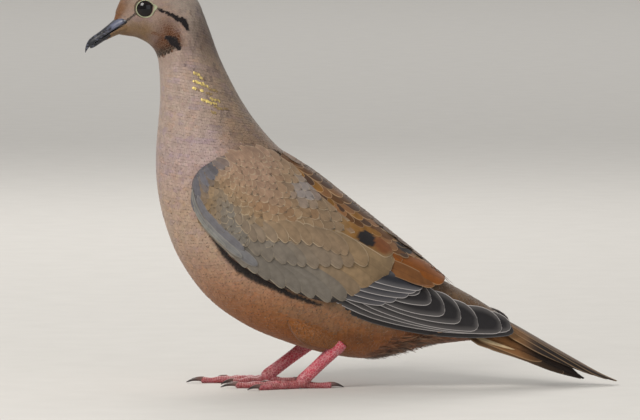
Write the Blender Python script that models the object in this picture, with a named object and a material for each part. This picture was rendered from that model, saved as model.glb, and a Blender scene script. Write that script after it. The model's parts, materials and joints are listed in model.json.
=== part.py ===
"""An eared dove standing still, life size, as a museum model in solids.

The bird faces -X and stands on the plane z = 0. Its left side is -Y. Lengths in the tables
are millimetres, and MM turns every point into metres as it goes into a mesh.

Three kinds of loft make the bird:
- a profile loft, whose rings join an upper line to a lower line, for the body and the bill;
- a plate loft, a curved plate between two edges, for the folded wings and the tail;
- a limb loft, a tube of changing thickness along a bent path, for thighs, legs, toes and claws.
A piece that lies against another is cut back by a slightly grown copy of it.
"""
import math

import bmesh
import bpy
import numpy as np

MM = 0.001
GAP = 0.32                      # clearance between neighbouring pieces
LEFT, RIGHT = -1, 1             # sides of the bird, as signs of Y
SIDE_NAME = {LEFT: "left", RIGHT: "right"}

# The body from the bill to the tail coverts. Each row is one cross-section:
# back line x, z; belly line x, z; half width.
BODY = (
    (-89.6, 136.9, -87.4, 131.8, 2.4),    # bill base
    (-88.1, 141.8, -85.4, 131.5, 3.5),
    (-85.6, 146.8, -83.2, 131.2, 5.0),    # gape
    (-81.6, 150.9, -81.0, 130.8, 7.4),
    (-75.8, 152.8, -78.8, 129.9, 9.2),    # eye
    (-69.0, 152.1, -76.7, 128.7, 9.9),
    (-63.0, 148.9, -74.9, 127.1, 9.8),
    (-58.5, 144.4, -73.7, 125.3, 9.7),
    (-55.5, 139.5, -72.8, 122.9, 9.9),    # nape
    (-52.9, 132.4, -72.3, 119.2, 10.3),
    (-49.9, 124.1, -72.0, 113.9, 11.0),
    (-46.1, 115.9, -72.0, 107.0, 12.3),
    (-41.2, 106.9, -72.7, 98.5, 14.6),
    (-35.2, 98.2, -73.5, 88.2, 18.2),     # root of the neck
    (-27.4, 89.6, -73.2, 76.0, 22.0),
    (-17.6, 82.5, -70.5, 62.2, 25.0),
    (-6.8, 74.2, -64.5, 47.2, 26.6),
    (3.8, 65.2, -54.0, 33.0, 27.0),       # middle of the trunk
    (13.8, 56.0, -39.8, 22.8, 26.2),
    (23.0, 47.6, -24.0, 16.2, 23.8),
    (31.4, 41.4, -8.2, 11.8, 20.0),
    (38.8, 37.2, 7.5, 10.4, 15.8),        # vent
    (47.0, 32.6, 25.0, 14.8, 12.4),
    (56.8, 26.2, 44.3, 17.0, 9.4),        # end of the tail coverts
)
NECK_FROM, TRUNK_FROM, COVERTS_FROM = 9.4, 13.0, 21.4   # where the body is parted, in rows
PARTING = 0.07                                          # rows left out at each parting

# The bill, from the gape to the tip. Upper line x, z; lower line x, z; half width.
BILL_UPPER = (
    (-84.6, 139.2, -84.4, 136.5, 4.5),
    (-88.0, 138.2, -87.2, 134.7, 3.8),
    (-91.6, 135.3, -90.4, 132.7, 3.1),
    (-94.6, 132.9, -93.4, 130.7, 2.3),
    (-97.3, 131.0, -96.4, 128.6, 1.7),
    (-98.9, 129.4, -98.2, 127.2, 1.2),
    (-99.8, 127.2, -99.1, 126.2, 0.6),
    (-100.0, 125.0, -99.8, 125.1, 0.25),
)
BILL_LOWER = (
    (-84.5, 136.1, -84.0, 132.6, 4.1),
    (-87.4, 134.3, -86.6, 132.2, 3.4),
    (-90.6, 132.3, -89.8, 131.0, 2.7),
    (-93.6, 130.3, -93.2, 129.2, 2.0),
    (-96.6, 128.2, -96.3, 127.2, 1.4),
    (-98.8, 126.5, -98.6, 125.9, 0.6),
)

# A folded wing. Top edge x, z, y; bottom edge x, z, y; outward bulge; thickness.
WING_COVERTS = (
    (-58.8, 80.4, 21.6, -60.0, 76.4, 22.0, 1.0, 2.0),     # wrist
    (-56.0, 83.4, 22.0, -59.8, 70.8, 22.6, 2.8, 4.0),
    (-50.0, 86.8, 21.8, -57.2, 63.6, 23.8, 4.4, 6.0),
    (-40.6, 90.6, 18.0, -51.6, 56.0, 25.4, 6.8, 8.0),
    (-30.6, 87.6, 14.8, -43.4, 48.0, 26.6, 8.6, 9.0),     # the shoulder feathers begin above
    (-20.4, 81.2, 14.2, -32.8, 41.2, 27.2, 9.0, 9.0),
    (-10.8, 73.4, 14.6, -22.8, 36.8, 27.2, 8.2, 8.4),
    (-1.6, 65.0, 15.8, -14.0, 33.8, 27.0, 6.4, 7.4),
    (6.6, 57.2, 17.0, -5.6, 33.0, 26.2, 4.6, 6.0),
    (12.6, 50.6, 17.8, 4.2, 36.2, 24.2, 2.4, 4.4),
    (14.8, 46.4, 18.2, 11.0, 40.4, 21.0, 0.6, 2.6),       # ends of the great coverts
)
WING_TERTIALS = (
    (-26.0, 87.8, 5.0, -27.0, 85.6, 12.2, 0.9, 2.2),
    (-16.0, 81.2, 2.8, -17.6, 76.0, 16.2, 2.8, 3.6),
    (-6.0, 73.8, 2.2, -8.4, 66.6, 18.0, 3.4, 4.6),
    (4.0, 66.2, 2.0, -0.4, 58.6, 19.2, 3.4, 4.8),
    (12.4, 59.4, 2.0, 6.6, 51.0, 19.6, 3.4, 4.8),
    (19.4, 53.8, 2.2, 13.4, 44.4, 19.0, 3.0, 4.2),
    (26.2, 48.2, 3.2, 20.6, 40.6, 17.4, 2.4, 3.6),
    (31.0, 43.8, 4.2, 27.6, 38.4, 15.0, 1.4, 2.6),
    (34.6, 40.4, 6.6, 33.6, 38.2, 11.6, 0.3, 1.2),        # tip of the longest tertial
)
WING_PRIMARIES = (
    (8.0, 48.6, 19.2, -12.0, 33.6, 26.0, 3.4, 3.4),
    (18.4, 42.8, 17.0, -0.8, 28.4, 24.0, 3.2, 3.0),
    (28.0, 39.0, 14.6, 10.9, 24.5, 21.0, 2.6, 2.6),
    (36.8, 35.9, 12.6, 22.5, 21.4, 17.6, 1.8, 2.1),
    (45.0, 32.0, 11.4, 33.8, 20.0, 15.0, 1.4, 1.8),
    (53.0, 27.7, 10.6, 44.8, 19.2, 13.2, 0.9, 1.5),
    (58.6, 24.7, 10.1, 53.6, 18.9, 11.8, 0.4, 1.2),
    (60.9, 22.6, 9.9, 59.8, 20.0, 10.6, 0.1, 1.0),        # wing tip
)

# The closed tail, as two stacks of feathers. Ridge x, z; side edge x, z; half width; thickness.
TAIL_UPPER = (
    (52.2, 27.7, 49.3, 23.4, 9.0, 2.0),
    (61.4, 22.9, 59.0, 18.8, 8.6, 1.9),
    (72.0, 16.8, 70.0, 13.2, 7.4, 1.7),
    (83.0, 10.5, 81.6, 8.0, 5.2, 1.4),
    (93.0, 4.9, 92.3, 3.8, 2.6, 1.0),
    (99.8, 1.8, 99.6, 1.5, 0.8, 0.6),
)
TAIL_LOWER = (
    (50.6, 24.0, 44.8, 16.9, 9.8, 1.8),
    (58.8, 19.0, 54.4, 13.9, 9.6, 1.6),
    (67.0, 14.4, 64.3, 10.6, 8.4, 1.4),
    (77.0, 8.6, 75.4, 6.2, 5.6, 1.1),
    (86.4, 3.4, 86.0, 3.0, 1.4, 0.7),
)

# Eyes and their bare rings.
EYE_AT = (-77.6, 5.5, 141.8)    # centre of the left or right eyeball, y as a distance
EYE_RADIUS = 4.6
RING_OUT = 3.7                   # from the eyeball's centre to the middle of the ring
RING_RADIUS, RING_THICK = 3.3, 0.5
EYE_TURN = math.radians(8)       # the eyes look slightly forward

# Legs. The left leg stands a little behind the right one.
ANKLE = {LEFT: (-5.2, -14.2, 15.9), RIGHT: (-14.4, 12.6, 16.1)}
FOOT = {LEFT: (-19.1, -13.2, 2.5), RIGHT: (-32.4, 12.2, 2.5)}
HIP = {LEFT: (-25.0, -18.6, 30.6), RIGHT: (-33.0, 18.6, 30.6)}
THIGH_RADII = (3.0, 8.4, 9.4, 7.6, 5.0, 3.2)           # from the hip end to the ankle
SHANK_RADII = ((2.1, 1.8), (2.5, 2.1), (2.3, 1.8), (2.1, 1.6), (2.1, 1.6), (2.3, 2.0), (1.9, 1.9))

# Toes: heading inwards from straight ahead in degrees, length, thickness, claw length, joints.
TOES = {
    "middle": (3, 24.5, 1.55, 5.6, 3),
    "inner": (34, 15.5, 1.45, 4.8, 2),
    "outer": (-29, 18.0, 1.45, 4.8, 3),
    "hind": (172, 11.5, 1.45, 4.6, 1),
}
TOE_START = 1.2                  # from the middle of the foot to where a toe begins
SOLE_CLIP = 0.18                 # how far a sole is flattened by the floor

# Numbers of faces
BODY_AROUND, BODY_PER_ROW = 24, 1.5
BILL_AROUND, BILL_RINGS = 12, 9
PLATE_ACROSS, WING_RINGS = 7, 12
TAIL_ACROSS, TAIL_RINGS = 11, 8
EYE_AROUND, EYE_RINGS = 12, 8
RING_AROUND, TUBE_AROUND = 16, 5
LIMB_AROUND = 8
CLAW_RINGS, CLAW_AROUND = 6, 6

# Colours (linear) and roughness of the materials.
FINISH = {
    "crown": ((0.26, 0.20, 0.165), 0.85),
    "neck": ((0.34, 0.25, 0.20), 0.85),
    "trunk": ((0.24, 0.14, 0.085), 0.85),
    "coverts": ((0.25, 0.175, 0.11), 0.8),
    "tertials": ((0.22, 0.125, 0.055), 0.75),
    "primaries": ((0.035, 0.030, 0.030), 0.6),
    "tail": ((0.11, 0.08, 0.05), 0.7),
    "bill": ((0.035, 0.035, 0.05), 0.35),
    "eye": ((0.01, 0.007, 0.01), 0.05),
    "eye_ring": ((0.36, 0.38, 0.28), 0.5),
    "leg": ((0.42, 0.11, 0.13), 0.45),
    "claw": ((0.05, 0.035, 0.035), 0.4),
}


def clear_scene():
    for old in list(bpy.data.objects):
        bpy.data.objects.remove(old, do_unlink=True)


def collection(name):
    made = bpy.data.collections.new(name)
    bpy.context.scene.collection.children.link(made)
    return made


def material(name):
    """The Principled material of that finish, made the first time it is asked for."""
    if name in bpy.data.materials:
        return bpy.data.materials[name]
    colour, roughness = FINISH[name]
    made = bpy.data.materials.new(name)
    made.use_nodes = True
    shader = made.node_tree.nodes["Principled BSDF"]
    shader.inputs["Base Color"].default_value = (*colour, 1)
    shader.inputs["Roughness"].default_value = roughness
    return made


def at(rows, t):
    """The rows read at t, in rows from the first, on a curve that passes smoothly through them."""
    rows = np.asarray(rows, float)
    t = np.clip(np.atleast_1d(np.asarray(t, float)), 0, len(rows) - 1)
    first = np.minimum(t.astype(int), len(rows) - 2)
    f = (t - first)[:, None]
    padded = np.vstack([2 * rows[0] - rows[1], rows, 2 * rows[-1] - rows[-2]])
    before, here, there, after = (padded[first + k] for k in range(4))
    slope, bend = there - before, 2 * before - 5 * here + 4 * there - after
    return here + 0.5 * f * (slope + f * (bend + f * (after - before + 3 * (here - there))))


def unit(vectors):
    return vectors / np.linalg.norm(vectors, axis=-1, keepdims=True)


def add_loft(name, rings, finish, where):
    """A closed mesh through rings of points in millimetres, with a flat cap at each end."""
    mesh = bpy.data.meshes.new(name)
    shape = bmesh.new()
    loops = [[shape.verts.new(point * MM) for point in ring] for ring in rings]
    around = len(loops[0])
    for ring, following in zip(loops, loops[1:]):
        for k in range(around):
            n = (k + 1) % around
            shape.faces.new((ring[k], ring[n], following[n], following[k]))
    shape.faces.new(loops[0][::-1])
    shape.faces.new(loops[-1])
    bmesh.ops.recalc_face_normals(shape, faces=shape.faces)
    shape.to_mesh(mesh)
    shape.free()
    return add_object(name, mesh, finish, where)


def add_object(name, mesh, finish, where):
    made = bpy.data.objects.new(name, mesh)
    where.objects.link(made)
    if finish:
        mesh.materials.append(material(finish))
        mesh.shade_smooth()
        mesh.set_sharp_from_angle(angle=math.radians(50))
    else:
        made.hide_render = True
        made.display_type = "WIRE"
    return made


def profile_rings(rows, t, around, grow=0.0, level=0.5):
    """Pairs of half ellipses between the upper and lower lines of the rows, in millimetres.

    Each ring lies in the plane through its two line points and the Y direction, and is widest
    at level, from 0 on the lower line to 1 on the upper one. With grow, the rings are that
    much larger all round and the end rings move outwards.
    """
    upper_x, upper_z, lower_x, lower_z, half_width = at(rows, t).T
    upper = np.stack([upper_x, 0 * upper_x, upper_z], 1)
    lower = np.stack([lower_x, 0 * lower_x, lower_z], 1)
    height, middle = upper - lower, lower + (upper - lower) * level
    turn = 2 * math.pi * np.arange(around) / around
    share = np.where(np.cos(turn) > 0, 1 - level, level)[:, None]
    reach = height[:, None] * share + unit(height)[:, None] * grow
    rings = middle[:, None] + reach * np.cos(turn)[:, None]
    rings[:, :, 1] += (half_width + grow)[:, None] * np.sin(turn)
    if grow:
        rings[0] += unit(middle[0] - middle[1]) * grow
        rings[-1] += unit(middle[-1] - middle[-2]) * grow
    return rings


def plate_rings(top, bottom, bulge, thickness, outward, across, grow=0.0):
    """Sections of a curved plate between two edges, in millimetres.

    The outer face bows out from the straight line between the edges by bulge times
    1 - v squared, where v runs from -1 to 1 across it, and the inner face lies under it by
    the thickness, which is half as much at the edges. outward is the side the bow is on.
    """
    v = np.linspace(-1, 1, across)[None, :, None]
    middle, half = (top + bottom) / 2, (bottom - top) / 2
    half = half + unit(half) * grow
    along = unit(np.gradient(middle, axis=0))
    normal = unit(np.cross(half, along))
    normal *= np.sign((normal * outward).sum(1, keepdims=True))
    bow = bulge[:, None, None] * (1 - v ** 2)
    thick = thickness[:, None, None] * (1 - 0.5 * v ** 2)
    outer = middle[:, None] + half[:, None] * v + normal[:, None] * (bow + grow)
    inner = outer - normal[:, None] * (thick + 2 * grow)
    rings = np.concatenate([outer, inner[:, ::-1]], axis=1)
    if grow:
        rings[0] -= along[0] * grow
        rings[-1] += along[-1] * grow
    return rings


def wing_rings(rows, side, grow=0.0):
    """The plate sections of one part of a folded wing."""
    t = np.linspace(0, len(rows) - 1, WING_RINGS)
    tx, tz, ty, bx, bz, by, bulge, thickness = at(rows, t).T
    top = np.stack([tx, side * ty, tz], 1)
    bottom = np.stack([bx, side * by, bz], 1)
    outward = np.array([0.0, side, 0.3])
    return plate_rings(top, bottom, bulge, thickness, outward, PLATE_ACROSS, grow)


def tail_rings(rows, grow=0.0):
    """The plate sections of one stack of tail feathers: an arch with its ridge in the middle."""
    t = np.linspace(0, len(rows) - 1, TAIL_RINGS)
    ridge_x, ridge_z, edge_x, edge_z, half_width, thickness = at(rows, t).T
    right = np.stack([edge_x, half_width, edge_z], 1)
    left = right * (1, -1, 1)
    bulge = np.hypot(ridge_x - edge_x, ridge_z - edge_z)
    return plate_rings(left, right, bulge, thickness, np.array([0, 0, 1.0]), TAIL_ACROSS, grow)


def limb_rings(path, deep, wide, around, grow=0.0, flat_below=None):
    """Ellipses square to a path, deep in the path's upright plane and wide across it."""
    path = np.asarray(path, float)
    deep, wide = np.asarray(deep, float) + grow, np.asarray(wide, float) + grow
    along = unit(np.gradient(path, axis=0))
    if grow:
        path = path.copy()
        path[0] -= along[0] * grow
        path[-1] += along[-1] * grow
    across = unit(np.cross(along, (0.0, 0.0, 1.0)))
    up = np.cross(across, along)
    turn = 2 * math.pi * (np.arange(around) + 0.5) / around
    rings = (path[:, None] + across[:, None] * (wide[:, None] * np.cos(turn))[:, :, None]
             + up[:, None] * (deep[:, None] * np.sin(turn))[:, :, None])
    if flat_below is not None:
        rings[:, :, 2] = np.maximum(rings[:, :, 2], flat_below)
    return rings


def cut(piece, *cutters):
    """Takes the cutters out of the piece.

    Grown copies run almost parallel to their neighbours, where the exact solver loses faces.
    Every mesh here is closed, so the manifold solver does it.
    """
    for cutter in cutters:
        away = piece.modifiers.new("cut by " + cutter.name, "BOOLEAN")
        away.operation = "DIFFERENCE"
        away.solver = "MANIFOLD"
        away.object = cutter


def add_body(parts, cutters):
    """Head, neck, trunk and tail coverts: one profile loft, parted at three planes."""
    ends = {
        "head": (0, NECK_FROM - PARTING),
        "neck": (NECK_FROM, TRUNK_FROM - PARTING),
        "trunk": (TRUNK_FROM, COVERTS_FROM - PARTING),
        "tail_coverts": (COVERTS_FROM, len(BODY) - 1),
    }
    finish = {"head": "crown", "neck": "neck", "trunk": "trunk", "tail_coverts": "tertials"}
    made = {}
    for name, (start, end) in ends.items():
        t = np.linspace(start, end, max(3, round((end - start) * BODY_PER_ROW)))
        made[name] = add_loft(name, profile_rings(BODY, t, BODY_AROUND), finish[name], parts)
    t = np.linspace(TRUNK_FROM - 2, len(BODY) - 1, 40)
    room = add_loft("room_for_body", profile_rings(BODY, t, BODY_AROUND, GAP), None, cutters)
    return made, room


def add_bill(head, parts, cutters):
    """Upper and lower mandible, set into the face."""
    for name, rows, level in (("bill_upper", BILL_UPPER, 0.1), ("bill_lower", BILL_LOWER, 0.9)):
        t = np.linspace(0, len(rows) - 1, BILL_RINGS)
        add_loft(name, profile_rings(rows, t, BILL_AROUND, 0.0, level), "bill", parts)
        room = profile_rings(rows, t, BILL_AROUND, GAP, level)
        cut(head, add_loft("room_for_" + name, room, None, cutters))


def add_ball(name, centre, radius, finish, where):
    bpy.ops.mesh.primitive_uv_sphere_add(segments=EYE_AROUND, ring_count=EYE_RINGS, radius=radius * MM,
                                         location=np.multiply(centre, MM),
                                         rotation=(math.pi / 2, 0, 0))
    return adopt(name, finish, where)


def add_ring(name, centre, tube, turn, finish, where):
    bpy.ops.mesh.primitive_torus_add(major_radius=RING_RADIUS * MM, minor_radius=tube * MM,
                                     major_segments=RING_AROUND, minor_segments=TUBE_AROUND,
                                     location=np.multiply(centre, MM),
                                     rotation=(math.pi / 2, 0, turn))
    return adopt(name, finish, where)


def adopt(name, finish, where):
    """Moves the object that an operator just made into a collection, under its own name."""
    made = bpy.context.object
    mesh = made.data
    place = made.matrix_world.copy()
    bpy.data.objects.remove(made)
    mesh.name = name
    made = add_object(name, mesh, finish, where)
    made.matrix_world = place
    return made


def add_eye(side, head, parts, cutters):
    """An eyeball deep in its socket, and the bare ring round it."""
    name = SIDE_NAME[side]
    centre = np.array(EYE_AT) * (1, side, 1)
    turn = side * EYE_TURN
    look = np.array([-math.sin(EYE_TURN), side * math.cos(EYE_TURN), 0])
    ring_at = centre + look * RING_OUT
    add_ball("eye_" + name, centre, EYE_RADIUS, "eye", parts)
    ring = add_ring("eye_ring_" + name, ring_at, RING_THICK, turn, "eye_ring", parts)
    socket = add_ball("room_for_eye_" + name, centre, EYE_RADIUS + GAP, None, cutters)
    ring_room = add_ring("room_for_ring_" + name, ring_at, RING_THICK + GAP, turn, None, cutters)
    cut(ring, socket)
    cut(head, socket, ring_room)


def add_wing(side, body_room, tail_rooms, parts, cutters):
    """The folded wing: coverts over the arm, tertials over the back, primaries behind."""
    name = "wing_" + SIDE_NAME[side]
    over = [body_room, *tail_rooms]
    for part, rows in (("coverts", WING_COVERTS), ("tertials", WING_TERTIALS),
                       ("primaries", WING_PRIMARIES)):
        piece = add_loft(f"{name}_{part}", wing_rings(rows, side), part, parts)
        cut(piece, *over)
        room = wing_rings(rows, side, GAP)
        over.append(add_loft(f"room_for_{name}_{part}", room, None, cutters))


def add_tail(body_room, parts, cutters):
    """Two stacks of tail feathers, the long middle ones lying on the shorter outer ones."""
    rooms = []
    upper = add_loft("tail_upper", tail_rings(TAIL_UPPER), "tail", parts)
    lower = add_loft("tail_lower", tail_rings(TAIL_LOWER), "tail", parts)
    for name, rows in (("tail_upper", TAIL_UPPER), ("tail_lower", TAIL_LOWER)):
        rooms.append(add_loft("room_for_" + name, tail_rings(rows, GAP), None, cutters))
    cut(upper, body_room)
    cut(lower, body_room, rooms[0])
    return rooms


def shank_path(side):
    """From inside the thigh past the heel and straight down to the middle of the foot."""
    ankle, foot = np.array(ANKLE[side]), np.array(FOOT[side])
    shares = np.array((-0.11, 0.0, 0.16, 0.45, 0.78, 0.95, 1.04))
    return ankle + (foot - ankle) * shares[:, None]


def thigh_path(side):
    """Along the drumstick, from the flank to the heel."""
    hip, ankle = np.array(HIP[side]), np.array(ANKLE[side])
    end = ankle + (-0.6, 0, 1.6)
    bow = np.array([0, 0, -1.4])
    share = np.linspace(0, 1, len(THIGH_RADII))[:, None]
    return hip + (end - hip) * share + bow * 4 * share * (1 - share)


def toe_rings(side, heading, length, radius, joints, grow=0.0):
    """One toe from the middle of the foot outwards, swollen at its joints, with a flat sole."""
    foot = np.array(FOOT[side])
    angle = math.radians(heading)
    ahead = np.array([-math.cos(angle), -side * math.sin(angle), 0])
    share = np.linspace(0, 1, 2 * joints + 4)
    pads = 1 + 0.09 * np.cos(2 * math.pi * share * joints)
    thick = radius * (1 - 0.24 * share) * pads
    path = foot + ahead * (TOE_START + (length - TOE_START) * share)[:, None]
    path[:, 2] = thick - SOLE_CLIP
    return limb_rings(path, thick, thick, LIMB_AROUND, grow, -grow if grow else 0.0)


def claw_rings(side, heading, length, radius, claw):
    """A claw that goes on from its toe and hooks down to the floor."""
    foot = np.array(FOOT[side])
    angle = math.radians(heading)
    ahead = np.array([-math.cos(angle), -side * math.sin(angle), 0])
    share = np.linspace(0, 1, CLAW_RINGS)
    thick = radius * 0.66 * (1 - 0.86 * share ** 1.3)
    path = foot + ahead * (length + GAP + claw * share)[:, None]
    root = radius * 0.95
    path[:, 2] = root + 0.35 * np.sin(math.pi * share) - (root - 0.35) * share ** 1.6
    return limb_rings(path, thick, thick * 0.8, CLAW_AROUND, 0.0, 0.0)


def add_leg(side, trunk, parts, cutters):
    """Feathered thigh, bare shank, and four toes with their claws."""
    name = SIDE_NAME[side]
    deep, wide = np.array(SHANK_RADII).T
    shank = limb_rings(shank_path(side), deep, wide, LIMB_AROUND)
    shank_room = limb_rings(shank_path(side), deep, wide, LIMB_AROUND, GAP)
    thigh_deep = np.array(THIGH_RADII)
    thigh = limb_rings(thigh_path(side), thigh_deep, thigh_deep * 0.62, LIMB_AROUND + 4)
    thigh_room = limb_rings(thigh_path(side), thigh_deep, thigh_deep * 0.62, LIMB_AROUND + 4, GAP)
    add_loft("shank_" + name, shank, "leg", parts)
    shank_room = add_loft("room_for_shank_" + name, shank_room, None, cutters)
    thigh = add_loft("thigh_" + name, thigh, "trunk", parts)
    thigh_room = add_loft("room_for_thigh_" + name, thigh_room, None, cutters)
    cut(thigh, shank_room)
    cut(trunk, shank_room, thigh_room)
    rooms = [shank_room]
    for toe, (heading, length, radius, claw, joints) in TOES.items():
        rings = toe_rings(side, heading, length, radius, joints)
        piece = add_loft(f"toe_{name}_{toe}", rings, "leg", parts)
        cut(piece, *rooms)
        grown = toe_rings(side, heading, length, radius, joints, GAP)
        rooms.append(add_loft(f"room_for_toe_{name}_{toe}", grown, None, cutters))
        rings = claw_rings(side, heading, length, radius, claw)
        add_loft(f"claw_{name}_{toe}", rings, "claw", parts)


def main():
    clear_scene()
    parts, cutters = collection("eared_dove"), collection("cutters")
    body, body_room = add_body(parts, cutters)
    add_bill(body["head"], parts, cutters)
    tail_rooms = add_tail(body_room, parts, cutters)
    for side in (LEFT, RIGHT):
        add_eye(side, body["head"], parts, cutters)
        add_wing(side, body_room, tail_rooms, parts, cutters)
        add_leg(side, body["trunk"], parts, cutters)


main()
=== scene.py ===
# %% [markdown]
# # A standing eared dove, feather by feather
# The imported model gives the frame: its nodes are the bird's parts out to the feather tips.
# Everything below is laid on the same shapes, a little inside them, so that the finished
# bird keeps their size. Lengths are in millimetres until a mesh is written.

# %% Load the frame
import json
import math

import bpy
import numpy as np
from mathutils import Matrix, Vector

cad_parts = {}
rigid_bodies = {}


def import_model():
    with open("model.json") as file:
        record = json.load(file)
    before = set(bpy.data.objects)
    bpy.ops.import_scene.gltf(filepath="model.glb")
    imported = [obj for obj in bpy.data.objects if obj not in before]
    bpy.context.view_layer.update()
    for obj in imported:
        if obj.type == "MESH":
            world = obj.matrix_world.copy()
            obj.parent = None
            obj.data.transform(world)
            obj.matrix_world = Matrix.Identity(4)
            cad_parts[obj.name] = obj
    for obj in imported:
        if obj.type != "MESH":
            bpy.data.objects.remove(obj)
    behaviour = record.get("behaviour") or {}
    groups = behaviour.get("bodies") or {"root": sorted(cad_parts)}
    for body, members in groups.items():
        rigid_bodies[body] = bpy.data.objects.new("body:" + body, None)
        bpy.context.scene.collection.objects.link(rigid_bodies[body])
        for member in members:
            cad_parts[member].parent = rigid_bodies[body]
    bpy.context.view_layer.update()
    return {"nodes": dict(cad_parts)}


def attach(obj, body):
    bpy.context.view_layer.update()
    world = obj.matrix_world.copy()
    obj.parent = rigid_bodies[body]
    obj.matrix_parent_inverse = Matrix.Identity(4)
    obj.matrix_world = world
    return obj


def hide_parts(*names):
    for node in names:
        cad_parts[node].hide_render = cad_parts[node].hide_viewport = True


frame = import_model()
MM = 0.001
SIDES = {"left": -1, "right": 1}
print("nodes in the frame:", len(frame["nodes"]))

# %% [markdown]
# ## Studio
# A bird this small is pictured with a long lens from nearly level, so that its far side is
# hardly smaller than its near one. The camera stands square to the left side, a few degrees
# above the belly. The picture stops just above the eye. One large soft key comes from
# the upper front, and a weak fill and an even sky open the shadows.

# %% Camera, floor and lights
AIM = np.array([-0.0120, 0.0, 0.0660])
DISTANCE, ELEVATION, PICTURE_WIDTH = 2.8, math.radians(3.5), 0.240
STUDIO = (0.80, 0.78, 0.75)


def look_at(thing, target):
    """Turns a camera or lamp so that its -Z axis points at the target."""
    away = Vector(target) - thing.location
    thing.rotation_euler = away.to_track_quat("-Z", "Y").to_euler()


def place(data, location, target):
    """Puts a camera or lamp into the scene, turned to the target."""
    thing = bpy.data.objects.new(data.name, data)
    bpy.context.scene.collection.objects.link(thing)
    thing.location = location
    look_at(thing, target)
    return thing


lens = bpy.data.cameras.new("camera")
lens.sensor_width = 36.0
lens.lens = lens.sensor_width * DISTANCE / PICTURE_WIDTH
lens.clip_start, lens.clip_end = 0.1, 20.0
stand = AIM + DISTANCE * np.array([0.0, -math.cos(ELEVATION), math.sin(ELEVATION)])
bpy.context.scene.camera = place(lens, stand, AIM)


def lamp(name, location, size, watts, colour):
    """A square area lamp aimed at the bird."""
    light = bpy.data.lights.new(name, "AREA")
    light.size, light.energy, light.color = size, watts, colour
    return place(light, location, AIM)


lamp("key", (-0.75, -0.85, 1.05), 0.60, 16.0, (1.0, 0.97, 0.92))
lamp("fill", (0.6, -1.2, 0.45), 1.0, 3.2, (0.92, 0.96, 1.0))
lamp("rim", (-0.2, 1.1, 0.9), 0.5, 5.0, (1.0, 0.97, 0.93))
sky = lamp("sky", (0.0, 3.4, 3.0), 4.0, 62.0, (1.0, 0.99, 0.97))
look_at(sky, (0.0, 3.4, 0.0))
world = bpy.data.worlds.new("studio")
bpy.context.scene.world = world
world.use_nodes = True
background = world.node_tree.nodes["Background"].inputs
background["Color"].default_value = (*STUDIO, 1)
background["Strength"].default_value = 0.42
bpy.context.scene.view_settings.view_transform = "Standard"

floor_mesh = bpy.data.meshes.new("floor")
floor_mesh.from_pydata([(-3, -3, 0), (3, -3, 0), (3, 6, 0), (-3, 6, 0)], [], [(0, 1, 2, 3)])
floor = bpy.data.objects.new("floor", floor_mesh)
bpy.context.scene.collection.objects.link(floor)
print("camera at", np.round(stand, 3), "lens", round(lens.lens), "mm")

# %% [markdown]
# ## Node materials
# Each material is a short list of shader nodes. One helper adds a node and fills its
# inputs, either with a value or with another node's output. What is the same all over a
# surface is set on the shader's own sockets.

# %% A helper for shader nodes


def srgb(red, green, blue):
    """A display colour, 0 to 255, as linear light: a straight line near black, a power above it."""
    c = np.array([red, green, blue]) / 255
    return np.where(c <= 0.04045, c / 12.92, ((c + 0.055) / 1.055) ** 2.4)


def add(tree, kind, inputs, **settings):
    """Adds a shader node, fills its inputs by name or number, and returns its outputs."""
    node = tree.nodes.new("ShaderNode" + kind)
    for key, value in settings.items():
        setattr(node, key, value)
    for key, value in inputs.items():
        if isinstance(value, bpy.types.NodeSocket):
            tree.links.new(value, node.inputs[key])
        else:
            node.inputs[key].default_value = value
    return node.outputs


def maths(tree, operation, *values):
    """The result of a Math node."""
    return add(tree, "Math", dict(enumerate(values)), operation=operation)[0]


def ramp(tree, value, low, high, start=0.0, end=1.0):
    """A smooth step of the value from start at low to end at high."""
    inputs = {"Value": value, "From Min": low, "From Max": high, "To Min": start, "To Max": end}
    return add(tree, "MapRange", inputs, interpolation_type="SMOOTHSTEP")[0]


def mix(tree, factor, first, second, blend="MIX"):
    """A colour between the first and the second, or their product. On a Mix node 6 and 7 are the colours."""
    first, second = (c if isinstance(c, bpy.types.NodeSocket) else (*c, 1.0) for c in (first, second))
    return add(tree, "Mix", {0: factor, 6: first, 7: second}, data_type="RGBA", blend_type=blend)[2]


def stored(tree, name, kind):
    """What the mesh keeps at its points under that name, read as a Color, a Vector or a number (Fac)."""
    return add(tree, "Attribute", {}, attribute_name=name)[kind]


def cloudy(tree, scale, detail):
    """Soft noise from 0 to 1 in the object's own space."""
    places = add(tree, "TexCoord", {})["Object"]
    return add(tree, "TexNoise", {"Vector": places, "Scale": scale, "Detail": detail})["Fac"]


def new_material(name, **sockets):
    """A new Principled material with those sockets set, and its tree."""
    made = bpy.data.materials.new(name)
    made.use_nodes = True
    for key, value in sockets.items():
        made.node_tree.nodes["Principled BSDF"].inputs[key.replace("_", " ")].default_value = value
    return made, made.node_tree


def wear(tree, colour, height=None, strength=0.0, distance=0.0):
    """Links a colour, and where there is one a relief of that height, to the tree's shader."""
    sockets = tree.nodes["Principled BSDF"].inputs
    tree.links.new(colour, sockets["Base Color"])
    if height:
        relief = add(tree, "Bump", {"Height": height, "Strength": strength, "Distance": distance})
        tree.links.new(relief["Normal"], sockets["Normal"])


# %% The floor's finish
FLOOR_DARK, FLOOR_PALE = (0.60, 0.585, 0.56), (0.66, 0.645, 0.62)
matt, tree = new_material("pale floor", Roughness=0.9)
wear(tree, mix(tree, cloudy(tree, 60.0, 4.0), FLOOR_DARK, FLOOR_PALE))
floor_mesh.materials.append(matt)
print("materials so far:", len(bpy.data.materials))

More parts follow.
